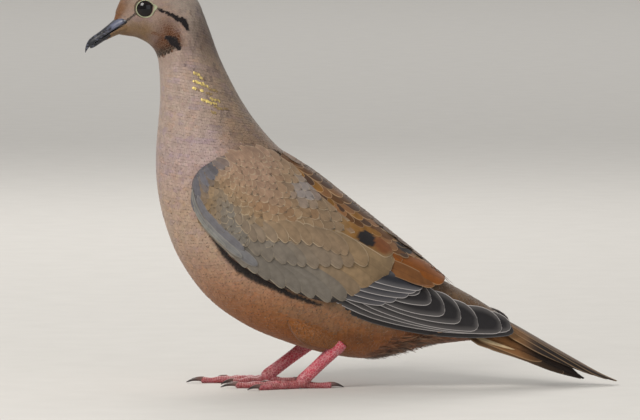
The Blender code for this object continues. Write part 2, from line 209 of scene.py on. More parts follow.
# %% [markdown]
# ## The bird's own shapes
# The body is one smooth tube from the bill to the tail: each row below gives the back line,
# the belly line and the half width of one cross-section, and a curve passes through the
# rows. Each folded wing is three bowed plates between an upper and a lower edge, and the
# tail is two arched ones. They are the same forms that the solids have, written as surfaces
# of two parameters, so that a feather can be laid anywhere on them.

# %% Cross-sections of the body: back x, z; belly x, z; half width
BODY = (
    (-89.6, 136.9, -87.4, 131.8, 2.4), (-88.1, 141.8, -85.4, 131.5, 3.5),
    (-85.6, 146.8, -83.2, 131.2, 5.0), (-81.6, 150.9, -81.0, 130.8, 7.4),
    (-75.8, 152.8, -78.8, 129.9, 9.2), (-69.0, 152.1, -76.7, 128.7, 9.9),
    (-62.4, 149.2, -74.9, 127.1, 9.8), (-57.8, 144.7, -73.7, 125.3, 9.7),
    (-55.5, 139.5, -72.8, 122.9, 9.9), (-52.9, 132.4, -72.3, 119.2, 10.3),
    (-49.9, 124.1, -72.0, 113.9, 11.0), (-46.1, 115.9, -72.0, 107.0, 12.3),
    (-41.2, 106.9, -72.7, 98.5, 14.6), (-35.2, 98.2, -73.5, 88.2, 18.2),
    (-27.4, 89.6, -73.2, 76.0, 22.0), (-17.6, 82.5, -70.5, 62.2, 25.0),
    (-6.8, 74.2, -64.5, 47.2, 26.6), (3.8, 65.2, -54.0, 33.0, 27.0),
    (13.8, 56.0, -39.8, 22.8, 26.2), (23.0, 47.6, -24.0, 16.2, 23.8),
    (31.4, 41.4, -8.2, 11.8, 20.0), (38.8, 37.2, 7.5, 10.4, 15.8),
    (47.0, 32.6, 25.0, 14.8, 12.4), (56.8, 26.2, 44.3, 17.0, 9.4),
)

BODY_END = len(BODY) - 1

# %% Sections of a folded wing: upper edge x, z, y; lower edge x, z, y; bow; thickness
WING = {
    "coverts": (
        (-58.8, 80.4, 21.6, -60.0, 76.4, 22.0, 1.0, 2.0), (-56.0, 83.4, 22.0, -59.8, 70.8, 22.6, 2.8, 4.0),
        (-50.0, 86.8, 21.8, -57.2, 63.6, 23.8, 4.4, 6.0), (-40.6, 90.6, 18.0, -51.6, 56.0, 25.4, 6.8, 8.0),
        (-30.6, 87.6, 14.8, -43.4, 48.0, 26.6, 8.6, 9.0), (-20.4, 81.2, 14.2, -32.8, 41.2, 27.2, 9.0, 9.0),
        (-10.8, 73.4, 14.6, -22.8, 36.8, 27.2, 8.2, 8.4), (-1.6, 65.0, 15.8, -14.0, 33.8, 27.0, 6.4, 7.4),
        (6.6, 57.2, 17.0, -5.6, 33.0, 26.2, 4.6, 6.0), (12.6, 50.6, 17.8, 4.2, 36.2, 24.2, 2.4, 4.4),
        (14.8, 46.4, 18.2, 11.0, 40.4, 21.0, 0.6, 2.6),
    ),
    "tertials": (
        (-26.0, 87.8, 5.0, -27.0, 85.6, 12.2, 0.9, 2.2), (-16.0, 81.2, 2.8, -17.6, 76.0, 16.2, 2.8, 3.6),
        (-6.0, 73.8, 2.2, -8.4, 66.6, 18.0, 3.4, 4.6), (4.0, 66.2, 2.0, -0.4, 58.6, 19.2, 3.4, 4.8),
        (12.4, 59.4, 2.0, 6.6, 51.0, 19.6, 3.4, 4.8), (19.4, 53.8, 2.2, 13.4, 44.4, 19.0, 3.0, 4.2),
        (26.2, 48.2, 3.2, 20.6, 40.6, 17.4, 2.4, 3.6), (31.0, 43.8, 4.2, 27.6, 38.4, 15.0, 1.4, 2.6),
        (34.6, 40.4, 6.6, 33.6, 38.2, 11.6, 0.3, 1.2),
    ),
    "primaries": (
        (8.0, 48.6, 19.2, -12.0, 33.6, 26.0, 3.4, 3.4), (18.4, 42.8, 17.0, -0.8, 28.4, 24.0, 3.2, 3.0),
        (28.0, 39.0, 14.6, 10.9, 24.5, 21.0, 2.6, 2.6), (36.8, 35.9, 12.6, 22.5, 21.4, 17.6, 1.8, 2.1),
        (45.0, 32.0, 11.4, 33.8, 20.0, 15.0, 1.4, 1.8), (53.0, 27.7, 10.6, 44.8, 19.2, 13.2, 0.9, 1.5),
        (58.6, 24.7, 10.1, 53.6, 18.9, 11.8, 0.4, 1.2), (60.9, 22.6, 9.9, 59.8, 20.0, 10.6, 0.1, 1.0),
    ),
}

# %% Sections of the tail: ridge x, z; side edge x, z; half width; thickness
TAIL = {
    "upper": (
        (52.2, 27.7, 49.3, 23.4, 9.0, 2.0), (61.4, 22.9, 59.0, 18.8, 8.6, 1.9),
        (72.0, 16.8, 70.0, 13.2, 7.4, 1.7), (83.0, 10.5, 81.6, 8.0, 5.2, 1.4),
        (93.0, 4.9, 92.3, 3.8, 2.6, 1.0), (99.8, 1.8, 99.6, 1.5, 0.8, 0.6),
    ),
    "lower": (
        (50.6, 24.0, 44.8, 16.9, 9.8, 1.8), (58.8, 19.0, 54.4, 13.9, 9.6, 1.6),
        (67.0, 14.4, 64.3, 10.6, 8.4, 1.4), (77.0, 8.6, 75.4, 6.2, 5.6, 1.1),
        (86.4, 3.4, 86.0, 3.0, 1.4, 0.7),
    ),
}

# %% Read rows of numbers as smooth surfaces


def grid(first, second):
    """Every value of the first, down the rows, with every value of the second, across them."""
    return np.meshgrid(first, second, indexing="ij")


def turns(count):
    """Evenly spaced turns of a circle, in radians."""
    return 2 * math.pi * np.arange(count) / count


def unit(vectors):
    return vectors / np.maximum(np.linalg.norm(vectors, axis=-1, keepdims=True), 1e-12)


def along_rows(rows, t):
    """The rows read at t on a Catmull-Rom curve.

    Each stretch is a cubic whose slope at a row is half the step between its neighbours, and
    past either end the curve goes straight on.
    """
    rows = np.asarray(rows, float)
    t = np.asarray(t, float)
    inside = np.clip(t, 0, len(rows) - 1)
    past = (t - inside)[..., None]
    straight = np.where(past < 0, rows[1] - rows[0], rows[-1] - rows[-2]) * past
    first = np.minimum(inside.astype(int), len(rows) - 2)
    f = (inside - first)[..., None]
    padded = np.vstack([2 * rows[0] - rows[1], rows, 2 * rows[-1] - rows[-2]])
    before, here, there, after = (padded[first + k] for k in range(4))
    slope, bend = there - before, 2 * before - 5 * here + 4 * there - after
    curve = here + 0.5 * f * (slope + f * (bend + f * (after - before + 3 * (here - there))))
    return curve + straight


def tube(rows, t, turn, lift, level=0.5):
    """A tube whose section is middle + height cos(turn), half width sin(turn), both grown by lift.

    The middle is the share level of the way from the rows' lower line to their upper one.
    """
    ux, uz, lx, lz, wide = np.moveaxis(along_rows(rows, t), -1, 0)
    upper, lower = np.stack([ux, 0 * ux, uz], -1), np.stack([lx, 0 * lx, lz], -1)
    height, middle = upper - lower, lower + (upper - lower) * level
    share = np.where(np.cos(turn) > 0, 1 - level, level)
    lift = np.broadcast_to(lift, np.shape(share))
    reach = height * share[..., None] + unit(height) * lift[..., None]
    points = middle + reach * np.cos(turn)[..., None]
    points[..., 1] += (wide + lift) * np.sin(turn)
    return points


def plate(start, end, bow, v, outward, lift, ahead):
    """A plate bowed by bow (1 - v squared) from the line between its edges, v from -1 to 1.

    It is raised by lift along its own normal, on the side of outward.
    """
    middle, half = (start + end) / 2, (end - start) / 2
    normal = unit(np.cross(half, ahead))
    normal *= np.sign((normal * outward).sum(-1, keepdims=True))
    return middle + half * v[..., None] + normal * (bow * (1 - v ** 2) + lift)[..., None]


def edges_of_wing(rows, side, t):
    """Upper edge, lower edge, bow and thickness of a folded wing's part at row t."""
    tx, tz, ty, bx, bz, by, bow, thick = np.moveaxis(along_rows(rows, t), -1, 0)
    return np.stack([tx, side * ty, tz], -1), np.stack([bx, side * by, bz], -1), bow, thick


def wing_surface(part, side):
    """The outer face of one part of a folded wing as a function of row t, v across it, and lift."""
    rows, outward = WING[part], np.array([0.0, side, 0.3])

    def surface(t, v, lift=0.0):
        top, bottom, bow, _ = edges_of_wing(rows, side, t)
        before = sum(edges_of_wing(rows, side, t - 0.5)[:2])
        after = sum(edges_of_wing(rows, side, t + 0.5)[:2])
        return plate(top, bottom, bow, v, outward, lift, unit(after - before))
    return surface


def tail_surface(part):
    """The upper face of one stack of tail feathers: an arch with its ridge in the middle."""
    rows = TAIL[part]

    def surface(t, v, lift=0.0):
        rx, rz, ex, ez, wide, _ = np.moveaxis(along_rows(rows, t), -1, 0)
        right = np.stack([ex, wide, ez], -1)
        left = right * (1, -1, 1)
        drop = np.stack([rx - ex, 0 * rx, rz - ez], -1)
        middle = (left + right) / 2
        points = middle + (right - left) / 2 * v[..., None] + drop * (1 - v ** 2)[..., None]
        return points + unit(drop) * np.broadcast_to(lift, v.shape)[..., None]
    return surface


def body_surface(t, turn, lift=0.0):
    """The body out to the feather tips: turn 0 is the back, a quarter turn the right side."""
    return tube(BODY, t, turn, lift)


print("the body starts at", np.round(body_surface(np.zeros(1), np.zeros(1))[0], 1), "mm")

# %% [markdown]
# ## One vane
# Every feather here is a thin closed vane: a flat ring of points that goes from the quill
# end to the tip, wide in the middle and pinched at both ends. The ring has a few points on
# its upper face and the same on its lower face, which meet at the two edges. The same
# template serves a feather of the brow and a flight feather; only the number of points
# differs. A small feather is 36 triangles, because thousands of them are needed.

# %% The template of a vane and the mesh writer


def band(count, around, closed=False):
    """Triangles between count rings of points. closed joins the last ring to the first."""
    ring, k = grid(np.arange(count if closed else count - 1), np.arange(around))
    beside, after = (k + 1) % around, (ring + 1) % count
    a, b, c, d = (row * around + column for row, column in
                  ((ring, k), (ring, beside), (after, beside), (after, k)))
    return np.concatenate([np.stack(corners, -1).reshape(-1, 3) for corners in ((a, b, c), (a, c, d))])


def vane_template(columns, rings):
    """Points and triangles of a closed strip.

    across runs from -1 to 1, along from 0 to 1, and face is 1 on the upper side, -1 on the
    lower side and 0 on the edges.
    """
    line = np.linspace(-1, 1, columns)
    across = np.concatenate([line, line[-2:0:-1]])
    face = np.concatenate([[0], np.ones(columns - 2), [0], -np.ones(columns - 2)])
    around = len(across)
    steps = 1 - (1 - np.linspace(0, 1, rings)) ** 1.5
    over, under = np.arange(columns), (around - np.arange(columns)) % around
    fans = [np.stack([0 * over[1:-1], side[first], side[first + 1]], 1)
            for side, first in ((over, over[1:-1]), (under, over[1:-1]))]
    root = np.concatenate([fans[0][:, [0, 2, 1]], fans[1]])
    tip = root[:, ::-1] + (rings - 1) * around
    return {"across": np.tile(across, rings), "face": np.tile(face, rings),
            "along": np.repeat(steps, around), "column": np.tile(np.arange(around), rings),
            "triangles": np.concatenate([band(rings, around), root, tip])}


DOWN = vane_template(3, 5)
CONTOUR = vane_template(4, 6)
QUILL = vane_template(9, 22)


def write_mesh(name, points, triangles, matt, values=None, tint=None, patch=None, hard=None):
    """Puts arrays into a mesh object in the scene.

    values are named numbers or vectors at the points, tint is their colour, patch their
    place in the map OFBake, and hard marks points whose edges stay sharp.
    """
    mesh = bpy.data.meshes.new(name)
    mesh.vertices.add(len(points))
    mesh.vertices.foreach_set("co", (points * MM).astype(np.float32).ravel())
    mesh.loops.add(triangles.size)
    mesh.loops.foreach_set("vertex_index", triangles.astype(np.int32).ravel())
    mesh.polygons.add(len(triangles))
    mesh.polygons.foreach_set("loop_start", np.arange(0, triangles.size, 3, dtype=np.int32))
    mesh.update(calc_edges=True)
    mesh.shade_smooth()
    if hard is not None:
        ends = np.empty(len(mesh.edges) * 2, np.int32)
        mesh.edges.foreach_get("vertices", ends)
        sharp = hard[ends.reshape(-1, 2)].all(1)
        mesh.attributes.new("sharp_edge", "BOOLEAN", "EDGE").data.foreach_set("value", sharp)
    if tint is not None:
        colours = mesh.color_attributes.new("tint", "FLOAT_COLOR", "POINT")
        colours.data.foreach_set("color", tint.astype(np.float32).ravel())
    for key, value in (values or {}).items():
        kind, field = ("FLOAT_VECTOR", "vector") if value.ndim == 2 else ("FLOAT", "value")
        mesh.attributes.new(key, kind, "POINT").data.foreach_set(field, value.astype(np.float32).ravel())
    if patch is not None:
        chart = mesh.uv_layers.new(name="OFBake")
        chart.data.foreach_set("uv", patch[triangles.ravel()].astype(np.float32).ravel())
    mesh.materials.append(matt)
    piece = bpy.data.objects.new(name, mesh)
    bpy.context.scene.collection.objects.link(piece)
    return piece


def settle(piece, slot, *nodes):
    """The piece rides with the bird and stands for the nodes, which it hides. slot is not used."""
    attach(piece, "root")
    if nodes:
        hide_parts(*nodes)
    print(f"{piece.name}: {len(piece.data.polygons)} triangles")


print("points in a small feather:", len(DOWN["across"]), "and in a flight feather:", len(QUILL["across"]))

# %% [markdown]
# ## Laying feathers on a surface
# A feather is rooted at a place on a surface and points along the lie of the coat. Near
# the root the surface is close to a flat plane, so a step of so many millimetres across
# and along the feather can be turned into a step of the surface's two parameters. The
# vane's points are then read from the surface itself, and each feather hugs the form
# under it. It rises a little from root to tip, so that its tip lies on the next ones.

# %% Lay vanes, scatter roots, and find places seen from the side
STEP = 0.02        # of a parameter, on either side
SHOWS_AT = 0.7     # of a vane's length: what lies before it is hidden by its neighbours


def tangents(surface, u, v):
    """Steps of the surface for a unit of each parameter, by central differences, and its outward normal."""
    du = (surface(u + STEP, v) - surface(u - STEP, v)) / (2 * STEP)
    dv = (surface(u, v + STEP) - surface(u, v - STEP)) / (2 * STEP)
    raised = surface(u, v, np.full(np.shape(u), 1.0)) - surface(u, v)
    normal = unit(np.cross(du, dv))
    return du, dv, normal * np.sign((normal * raised).sum(-1, keepdims=True))


def vane_outline(template, tip_from):
    """The half width of a contour feather, 0 to 1: it widens from the quill end to an elliptic tip."""
    quill_end, full_from, least = 0.35, 0.45, 0.12
    y = template["along"]
    rise = quill_end + (1 - quill_end) * np.sin(np.clip(y / full_from, 0, 1) * math.pi / 2)
    q = np.clip((y - tip_from) / (1 - tip_from), 0, 1)
    return rise * np.maximum(np.sqrt(np.maximum(1 - q ** 2.2, 0)), least)


def lay(template, surface, u, v, flow, length, width, low, rise, seed, tip_from, camber, fray, thick):
    """Vanes rooted at u, v on a surface.

    flow is the wanted direction in space, length and width are in millimetres, low is the
    lift at the root and rise how much more the tip has. Each edge droops by camber times the
    width, and fray lets the points of the tip stick out unevenly. Returns the points, the
    place of each point in its own vane (across and along in mm, and mm to the edge), and the
    spot where each vane shows.
    """
    random = np.random.default_rng(seed)
    length, width, low, rise = (np.broadcast_to(x, u.shape)[:, None] for x in (length, width, low, rise))
    du, dv, normal = tangents(surface, u, v)
    ahead = unit(flow - normal * (flow * normal).sum(-1, keepdims=True))
    side = np.cross(normal, ahead)
    uu, vv, uv = ((a * b).sum(-1)[:, None] for a, b in ((du, du), (dv, dv), (du, dv)))

    def moved(way):
        """The surface's parameters a small way in space from each root."""
        by_u, by_v = ((way * d[:, None]).sum(-1) for d in (du, dv))
        spread = uu * vv - uv ** 2
        return u[:, None] + (vv * by_u - uv * by_v) / spread, v[:, None] + (uu * by_v - uv * by_u) / spread

    outline = vane_outline(template, tip_from)
    ragged = random.random((len(u), template["column"].max() + 1))[:, template["column"]]
    y = template["along"] * (1 + fray * (ragged - 0.5) * template["along"] ** 3)
    x = template["across"] * outline
    droop = camber * width * template["across"] ** 2 * outline
    lift = low + rise * y - droop + thick * template["face"] * (1 - 0.5 * y)
    way = side[:, None] * (x * width / 2)[..., None] + ahead[:, None] * (y * length)[..., None]
    points = surface(*moved(way), lift)
    rim = (1 - np.abs(template["across"])) * outline * width / 2
    rim = np.minimum(rim, (1 - template["along"]) * length + 0 * rim)
    shown = surface(*moved(ahead[:, None] * (SHOWS_AT * length)[..., None]))[:, 0]
    return points, np.stack([x * width / 2, y * length, rim], -1), shown


EVEN_STEPS = (0.7548776662, 0.5698402910)   # 1 / g and 1 / g squared, where g cubed is g + 1


def scatter(surface, u_span, v_span, area_of, rows, columns):
    """Roots spread so that each has about area_of(u, v) square millimetres to itself.

    The surface's area, over the area wanted for one root, is summed up over a grid. A
    low-discrepancy sequence is then read through the sums, which spaces the roots evenly.
    """
    u_wide, v_wide = u_span[1] - u_span[0], v_span[1] - v_span[0]
    u, v = grid(u_span[0] + (np.arange(rows) + 0.5) / rows * u_wide,
                v_span[0] + (np.arange(columns) + 0.5) / columns * v_wide)
    du, dv, _normal = tangents(surface, u, v)
    cell = u_wide * v_wide / (rows * columns)
    share = np.linalg.norm(np.cross(du, dv), axis=-1) * cell / area_of(u, v)
    count = int(share.sum())
    first, second = np.modf(0.5 + np.arange(1, count + 1)[:, None] * EVEN_STEPS)[0].T
    by_row = np.concatenate([[0], share.sum(1).cumsum()])
    row = np.interp(first * by_row[-1], by_row, np.arange(rows + 1))
    sums = np.concatenate([np.zeros((rows, 1)), share.cumsum(1)], 1)
    sums /= sums[:, -1:]
    lines = sums[np.minimum(row.astype(int), rows - 1)]
    column = (lines < second[:, None]).sum(1) - 1
    low, high = (np.take_along_axis(lines, column[:, None] + k, 1)[:, 0] for k in (0, 1))
    column = column + (second - low) / np.maximum(high - low, 1e-12)
    return u_span[0] + row / rows * u_wide, v_span[0] + column / columns * v_wide


def locate(surface, wanted, start, axes=(0, 2)):
    """The parameters whose surface point has the wanted coordinates on two axes, by Newton's method."""
    u, v = (np.full(wanted.shape[:-1], s, float) for s in start)
    axes = list(axes)
    for _ in range(12):
        du, dv, _normal = tangents(surface, u, v)
        miss = wanted - surface(u, v)[..., axes]
        a, b, c, d = du[..., axes[0]], dv[..., axes[0]], du[..., axes[1]], dv[..., axes[1]]
        spread = a * d - b * c
        spread = np.where(np.abs(spread) < 1e-6, 1e-6, spread)
        u = u + np.clip((d * miss[..., 0] - b * miss[..., 1]) / spread, -1.5, 1.5)
        v = v + np.clip((a * miss[..., 1] - c * miss[..., 0]) / spread, -0.6, 0.6)
    return u, v


def many(template, count):
    """The triangles of count vanes, one after another."""
    size = len(template["across"])
    return (template["triangles"][None] + size * np.arange(count)[:, None, None]).reshape(-1, 3)


print("ready to lay feathers")

# %% [markdown]
# ## The finish of feathers
# A feather's colour comes from three things: its own tint, the fine barbs that run out
# obliquely from the shaft, and a paler worn fringe along its edge. The tint is stored at
# the mesh points. Each point also knows how far it lies across and along its feather and
# how near its edge, all in millimetres, so barbs keep one real width on every feather.

# %% Plumage


def plumage(name, fringe, fringe_width, roughness, sheen, barb=0.30, streak=0.10, shaft=0.12, line=0.0,
            halo=0.0):
    """A feather finish. Widths are in millimetres.

    fringe is the edge's colour, shown as strongly as the tint's alpha says, and line is how much
    painted shadow darkens a hair's breadth outside it. halo is how far a softer share of it spreads.
    barb is the step from one barb to the next, and streak how dark the gaps between them are.
    """
    made, tree = new_material(name, Roughness=roughness, Sheen_Weight=sheen, Sheen_Roughness=0.45,
                              Specular_IOR_Level=0.25)
    tint, shown = stored(tree, "tint", "Color"), stored(tree, "tint", "Alpha")
    across, along, rim = add(tree, "SeparateXYZ", {"Vector": stored(tree, "vane", "Vector")})
    off_shaft = maths(tree, "ABSOLUTE", across)
    mottle = cloudy(tree, 420.0, 3.0)
    wobble = maths(tree, "MULTIPLY", mottle, 2.6 * barb)
    slant = maths(tree, "ADD", maths(tree, "MULTIPLY_ADD", off_shaft, -1.1, along), wobble)
    barbs = maths(tree, "SINE", maths(tree, "MULTIPLY", slant, 2 * math.pi / barb))
    fine = maths(tree, "MULTIPLY_ADD", barbs, streak / 2, 1.0 - streak / 2)
    cloud = ramp(tree, mottle, 0.3, 0.7, 0.88, 1.10)
    near_shaft = ramp(tree, off_shaft, 0.0, shaft, 0.80, 1.0)
    shade = maths(tree, "MULTIPLY", maths(tree, "MULTIPLY", fine, cloud), near_shaft)
    body = mix(tree, 1.0, tint, shade, "MULTIPLY")
    if halo:
        soft = maths(tree, "MULTIPLY", ramp(tree, rim, halo, 0.0, 0.0, 0.20), shown)
        body = mix(tree, soft, body, fringe)
    edge = ramp(tree, rim, fringe_width * 1.35, fringe_width * 0.55)
    body = mix(tree, maths(tree, "MULTIPLY", edge, shown), body, fringe)
    # A dark hair's breadth at the rim: painted shadow under each overlapping edge, as strong as line.
    outline = ramp(tree, rim, 0.0, fringe_width * 0.45, 1.0 - line, 1.0)
    wear(tree, mix(tree, 1.0, body, outline, "MULTIPLY"), fine, 0.35, 0.0002)
    return made


SOFT = plumage("soft body feathers", srgb(186, 164, 146), 0.18, 0.82, 0.22)
COVERT = plumage("wing covert feathers", srgb(190, 172, 146), 0.30, 0.74, 0.15, line=0.12)
FLIGHT = plumage("flight feathers", srgb(196, 190, 188), 0.26, 0.52, 0.08, 0.36, 0.18, 0.30, halo=2.6)
BROAD = plumage("tertial and tail feathers", srgb(184, 152, 116), 0.30, 0.62, 0.10, 0.40, 0.16, 0.22, 0.5)
print("feather finishes made")

# %% [markdown]
# ## Markings
# An eared dove is soft pinkish fawn in front and grey-brown behind, cinnamon under the
# belly, with two black strokes on the side of the head: one behind the eye and one below
# the ear. These are functions of a place on the bird, and the skin and the feathers are
# both coloured by them, so they agree wherever a little skin shows. Some of them are painted shade:
# under the jaw, in the fold under the wing's edge and behind the leg.

# %% Colours of the body by place
# The throat's and the hollow's tones are painted shade under the jaw, and the fold's tone is painted shade
# under the wing's edge.
TONES = {name: srgb(*tone) for name, tone in {
    "brow": (112, 70, 32), "crown": (150, 136, 126), "cheek": (149, 127, 115),
    "chin": (122, 94, 62), "throat_shade": (87, 48, 20), "jaw_shadow": (44, 30, 20),
    "nape": (107, 90, 80), "dusk": (90, 76, 72), "fawn": (168, 148, 137),
    "hind": (142, 122, 105), "mauve": (168, 146, 145), "breast": (174, 149, 130),
    "belly": (148, 89, 38), "flank": (122, 96, 73), "vent": (120, 72, 41),
    "mantle": (124, 98, 77), "rump": (94, 71, 49), "mark": (24, 18, 20),
    "umber": (104, 66, 44), "fold_shade": (38, 31, 29),
}.items()}


def step(value, low, high):
    """0 below low, 1 above high, and an even S between them. It falls where high is the smaller."""
    s = np.clip((value - low) / (high - low), 0, 1)
    return s * s * (3 - 2 * s)


def blend(first, second, share):
    """The share of the way from the first colour to the second."""
    return first + (second - first) * np.asarray(share)[..., None]


def layered(colour, tones, *layers):
    """The colour with named tones laid over it one after another, each by its own share."""
    for name, share in layers:
        colour = blend(colour, tones[name], share)
    return colour


def stroke(points, path, widths):
    """1 within a half width of a line through the path in the side view, falling to 0 at 1.6 times that.

    widths are the half widths at the corners of the path. Each changes evenly to the next.
    """
    place = points[..., [0, 2]]
    path = np.asarray(path, float)
    widths = np.broadcast_to(np.asarray(widths, float), len(path))
    nearest = np.full(place.shape[:-1], 1e3)
    for start, end, first, last in zip(path, path[1:], widths, widths[1:]):
        way = end - start
        s = np.clip(((place - start) @ way) / (way @ way), 0, 1)
        reach = np.linalg.norm(place - start - s[..., None] * way, axis=-1)
        nearest = np.minimum(nearest, reach / (first + (last - first) * s))
    return step(nearest, 1.6, 1.0)


# Lines through x, z in the side view.
EAR_UPPER = ((-72.4, 141.7), (-68.5, 140.2), (-65.6, 138.5), (-62.9, 137.1), (-62.1, 135.7), (-61.1, 134.1))
EAR_LOWER = ((-69.2, 131.0), (-66.8, 129.7), (-64.6, 127.2))
EAR_FRONT = ((-74.7, 132.6), (-71.5, 131.9), (-69.0, 130.9))
LORE = ((-85.2, 135.9), (-83.0, 138.2), (-80.6, 140.2))
COLLAR = ((-63.8, 121.4), (-61.2, 120.2), (-58.9, 119.5))
PALE_SPOT = ((-66.0, 126.2), (-64.9, 125.0))
FLANK_PATCH = ((-27.0, 30.2), (-16.0, 28.0), (-6.0, 22.5))
# The fold under the wing's edge, painted as shade.
FOLD_SHADE = ((-56.6, 66.0), (-52.5, 59.4), (-47.2, 51.9), (-41.5, 46.2), (-35.8, 42.4), (-28.9, 39.2),
        (-23.2, 36.0), (-11.7, 32.0))
OFF_MIDDLE = 2.0   # the markings of the side stop this far from the middle


def waves(points, size, seed):
    """Soft irregular waves between -1 and 1: sines of the place along directions drawn from the seed."""
    random = np.random.default_rng(seed)
    total = 0
    for k in range(6):
        way = unit(random.normal(size=3)) * 2 * math.pi / (size * (0.6 + 0.25 * k))
        total = total + np.sin(points @ way + random.random() * 6.28)
    return total / 3


def fold_shade(points):
    """1 along the lower edge of the wing: painted shade of the deep fold where the flank's feathers lie under
    it.
    """
    line = stroke(points, FOLD_SHADE, (0.5, 1.0, 1.5, 1.8, 1.5, 1.2, 0.9, 0.4))
    return line * step(np.abs(points[..., 1]), 9, 12)


def ragged(points):
    """The places moved a little by waves, so that a mark drawn by them has a ragged edge."""
    return points + 0.22 * np.stack([waves(points, 1.6, 11), 0 * points[..., 0], waves(points, 1.5, 12)], -1)


def ear_marks(points):
    """1 on the two black marks behind the eye and on the side of the neck."""
    upper = stroke(ragged(points), EAR_UPPER, (0.22, 0.40, 0.62, 0.95, 0.72, 0.35))
    lower = stroke(ragged(points), EAR_LOWER, (0.60, 1.30, 0.55))
    return np.maximum(upper, lower) * (np.abs(points[..., 1]) > OFF_MIDDLE)


def body_tint(t, turn, points):
    """The colour at row t and turn of the body. behind is 1 on the back line and 0 in front."""
    behind = 0.5 + 0.5 * np.cos(turn)
    x, z = points[..., 0], points[..., 2]
    on_side = np.abs(points[..., 1]) > OFF_MIDDLE
    # On the front of the head, under the jaw, the throat's tone is painted shade.
    head = layered(TONES["cheek"], TONES,
                   ("crown", step(behind, 0.55, 0.8)),
                   ("brow", step(t, 3.4, 1.2) * step(behind, 0.45, 0.75)),
                   ("chin", step(behind, 0.42, 0.16) * step(t, 6.0, 4.0)),
                   ("throat_shade", step(behind, 0.62, 0.36) * step(t, 4.4, 6.6) * step(t, 10.4, 8.6)),
                   ("nape", step(t, 6.5, 9.0) * step(behind, 0.55, 0.85)))
    neck = blend(TONES["fawn"], TONES["hind"], step(behind, 0.42, 0.86))
    chest = layered(TONES["mauve"], TONES,
                    ("breast", step(z, 92, 66)),
                    ("belly", step(z + 0.16 * x, 52, 16)),
                    ("flank", step(behind, 0.28, 0.5) * step(t, 14.0, 16.0)),
                    ("vent", step(t, 19.4, 21.6)))
    back = blend(TONES["mantle"], TONES["rump"], step(t, 19.0, 21.5))
    trunk = blend(chest, back, step(behind, 0.50, 0.80))
    colour = blend(head, neck, step(t + 1.2 * (0.5 - behind), 8.4, 9.8))
    colour = blend(colour, trunk, step(t, 11.6, 14.2))
    # Slow waves turn the coat bluer in some places and warmer in others.
    bluer = step(waves(points * (0.5, 1, 1.4), 5.0, 3), 0.1, 1.1) * step(t, 18.5, 14.0)
    colour = blend(colour, colour * (0.90, 0.90, 1.04), bluer)
    warmer = step(waves(points * (0.6, 1, 1.3), 4.0, 4), 0.2, 1.1)
    colour = blend(colour, colour * (1.04, 0.98, 0.92), warmer)
    smudge = step(waves(points * (1.3, 1, 0.7), 3.2, 5), 0.2, 1.0) * step(behind, 0.50, 0.72)
    # Under the jaw the head's shadow falls on the throat. It is painted shade with a clean lower edge, and
    # the pale neck is below it.
    above = z - (123.7 + 0.47 * (x + 72.1)) + 0.25 * waves(points, 2.0, 6)
    jaw_shadow = step(above, -0.1, 0.3) * step(x, -63.6, -65.0) * step(behind, 0.75, 0.6)
    below = step(above, -0.1, -0.6) * step(above, -9.0, -4.0) * step(x, -60, -65)
    colour = layered(colour, TONES,
                     ("dusk", 0.55 * smudge * step(t, 5.5, 7.5) * step(t, 15.5, 11.0)),
                     ("throat_shade", jaw_shadow * step(above, 7.0, 4.0) * step(x, -77.5, -74.0)),
                     ("jaw_shadow", jaw_shadow * step(above, 5.0, 0.8) * step(x, -75.5, -72.0)),
                     ("fawn", 0.85 * below),
                     ("umber", 0.8 * stroke(ragged(points), EAR_FRONT, 0.45) * on_side),
                     ("fawn", 0.6 * stroke(points, PALE_SPOT, 0.8) * on_side))
    patch = stroke(ragged(points), FLANK_PATCH, (1.0, 2.2, 1.6))
    colour = blend(colour, TONES["flank"] * 1.12, 0.5 * patch)
    # Painted shade behind the leg: a soft patch of darker umber.
    shade_behind_leg = np.exp(-((x - 2.0) / 7.0) ** 2 - ((z - 19.0) / 2.6) ** 2)
    colour = blend(colour, TONES["umber"] * 0.6, 0.5 * shade_behind_leg * on_side)
    marks = np.maximum(ear_marks(points), 0.9 * stroke(points, LORE, 0.34))
    marks = np.maximum(marks, 0.4 * stroke(ragged(points), COLLAR, 0.28))
    return blend(colour, TONES["mark"], marks * on_side * (t < 10.4))


print("tones named:", len(TONES))

# %% [markdown]
# ## The wing's colours
# The folded wing is olive brown above with a fine pale edge on each small covert, slate
# grey at the bend, and pearl grey on the long coverts below. Two black spots sit
# on the inner feathers, next to a rufous patch.

# %% Wing tones by place
WING_TONES = {name: srgb(*tone) for name, tone in {
    "lesser": (142, 117, 86), "upper": (151, 123, 103), "bend": (98, 96, 102), "pearl": (117, 110, 101),
    "tan": (136, 114, 90), "slate": (140, 134, 134), "scapular": (94, 62, 34), "rufous": (125, 69, 16),
    "umber": (76, 54, 40), "black": (26, 22, 25), "grey quill": (44, 44, 51), "quill": (30, 27, 29),
    "buff": (134, 93, 42), "frost": (132, 132, 127), "rusty": (132, 93, 60), "ochre": (139, 115, 82),
    "chestnut": (118, 66, 30), "olive": (88, 70, 46), "sepia": (114, 72, 36),
}.items()}


def wing_tint(points):
    """The coverts' colour: grey in front and below, brown above, slate in a patch at the upper rear."""
    x, z = points[..., 0], points[..., 2]
    low_edge = 76 - 54 * np.clip((x + 60) / 60, 0, 1) ** 0.8
    from_patch = np.hypot((x + 17) * 0.75 + (z - 75) * 0.6, (z - 75) * 0.85 - (x + 17) * 0.55)
    return layered(WING_TONES["lesser"], WING_TONES,
                   ("upper", step(z + 0.7 * x, 36, 56) * step(x, -14, -34)),
                   ("tan", step(x, -34, -8)),
                   ("pearl", step(z - low_edge, 17, 9) * step(x, -56, -46)),
                   ("bend", step(np.hypot(x + 36, z - 66), 19.5, 22.5) * step(x, -42, -52)),
                   ("slate", 0.75 * step(from_patch, 7.0, 3.0)))


print("wing tones named:", len(WING_TONES))

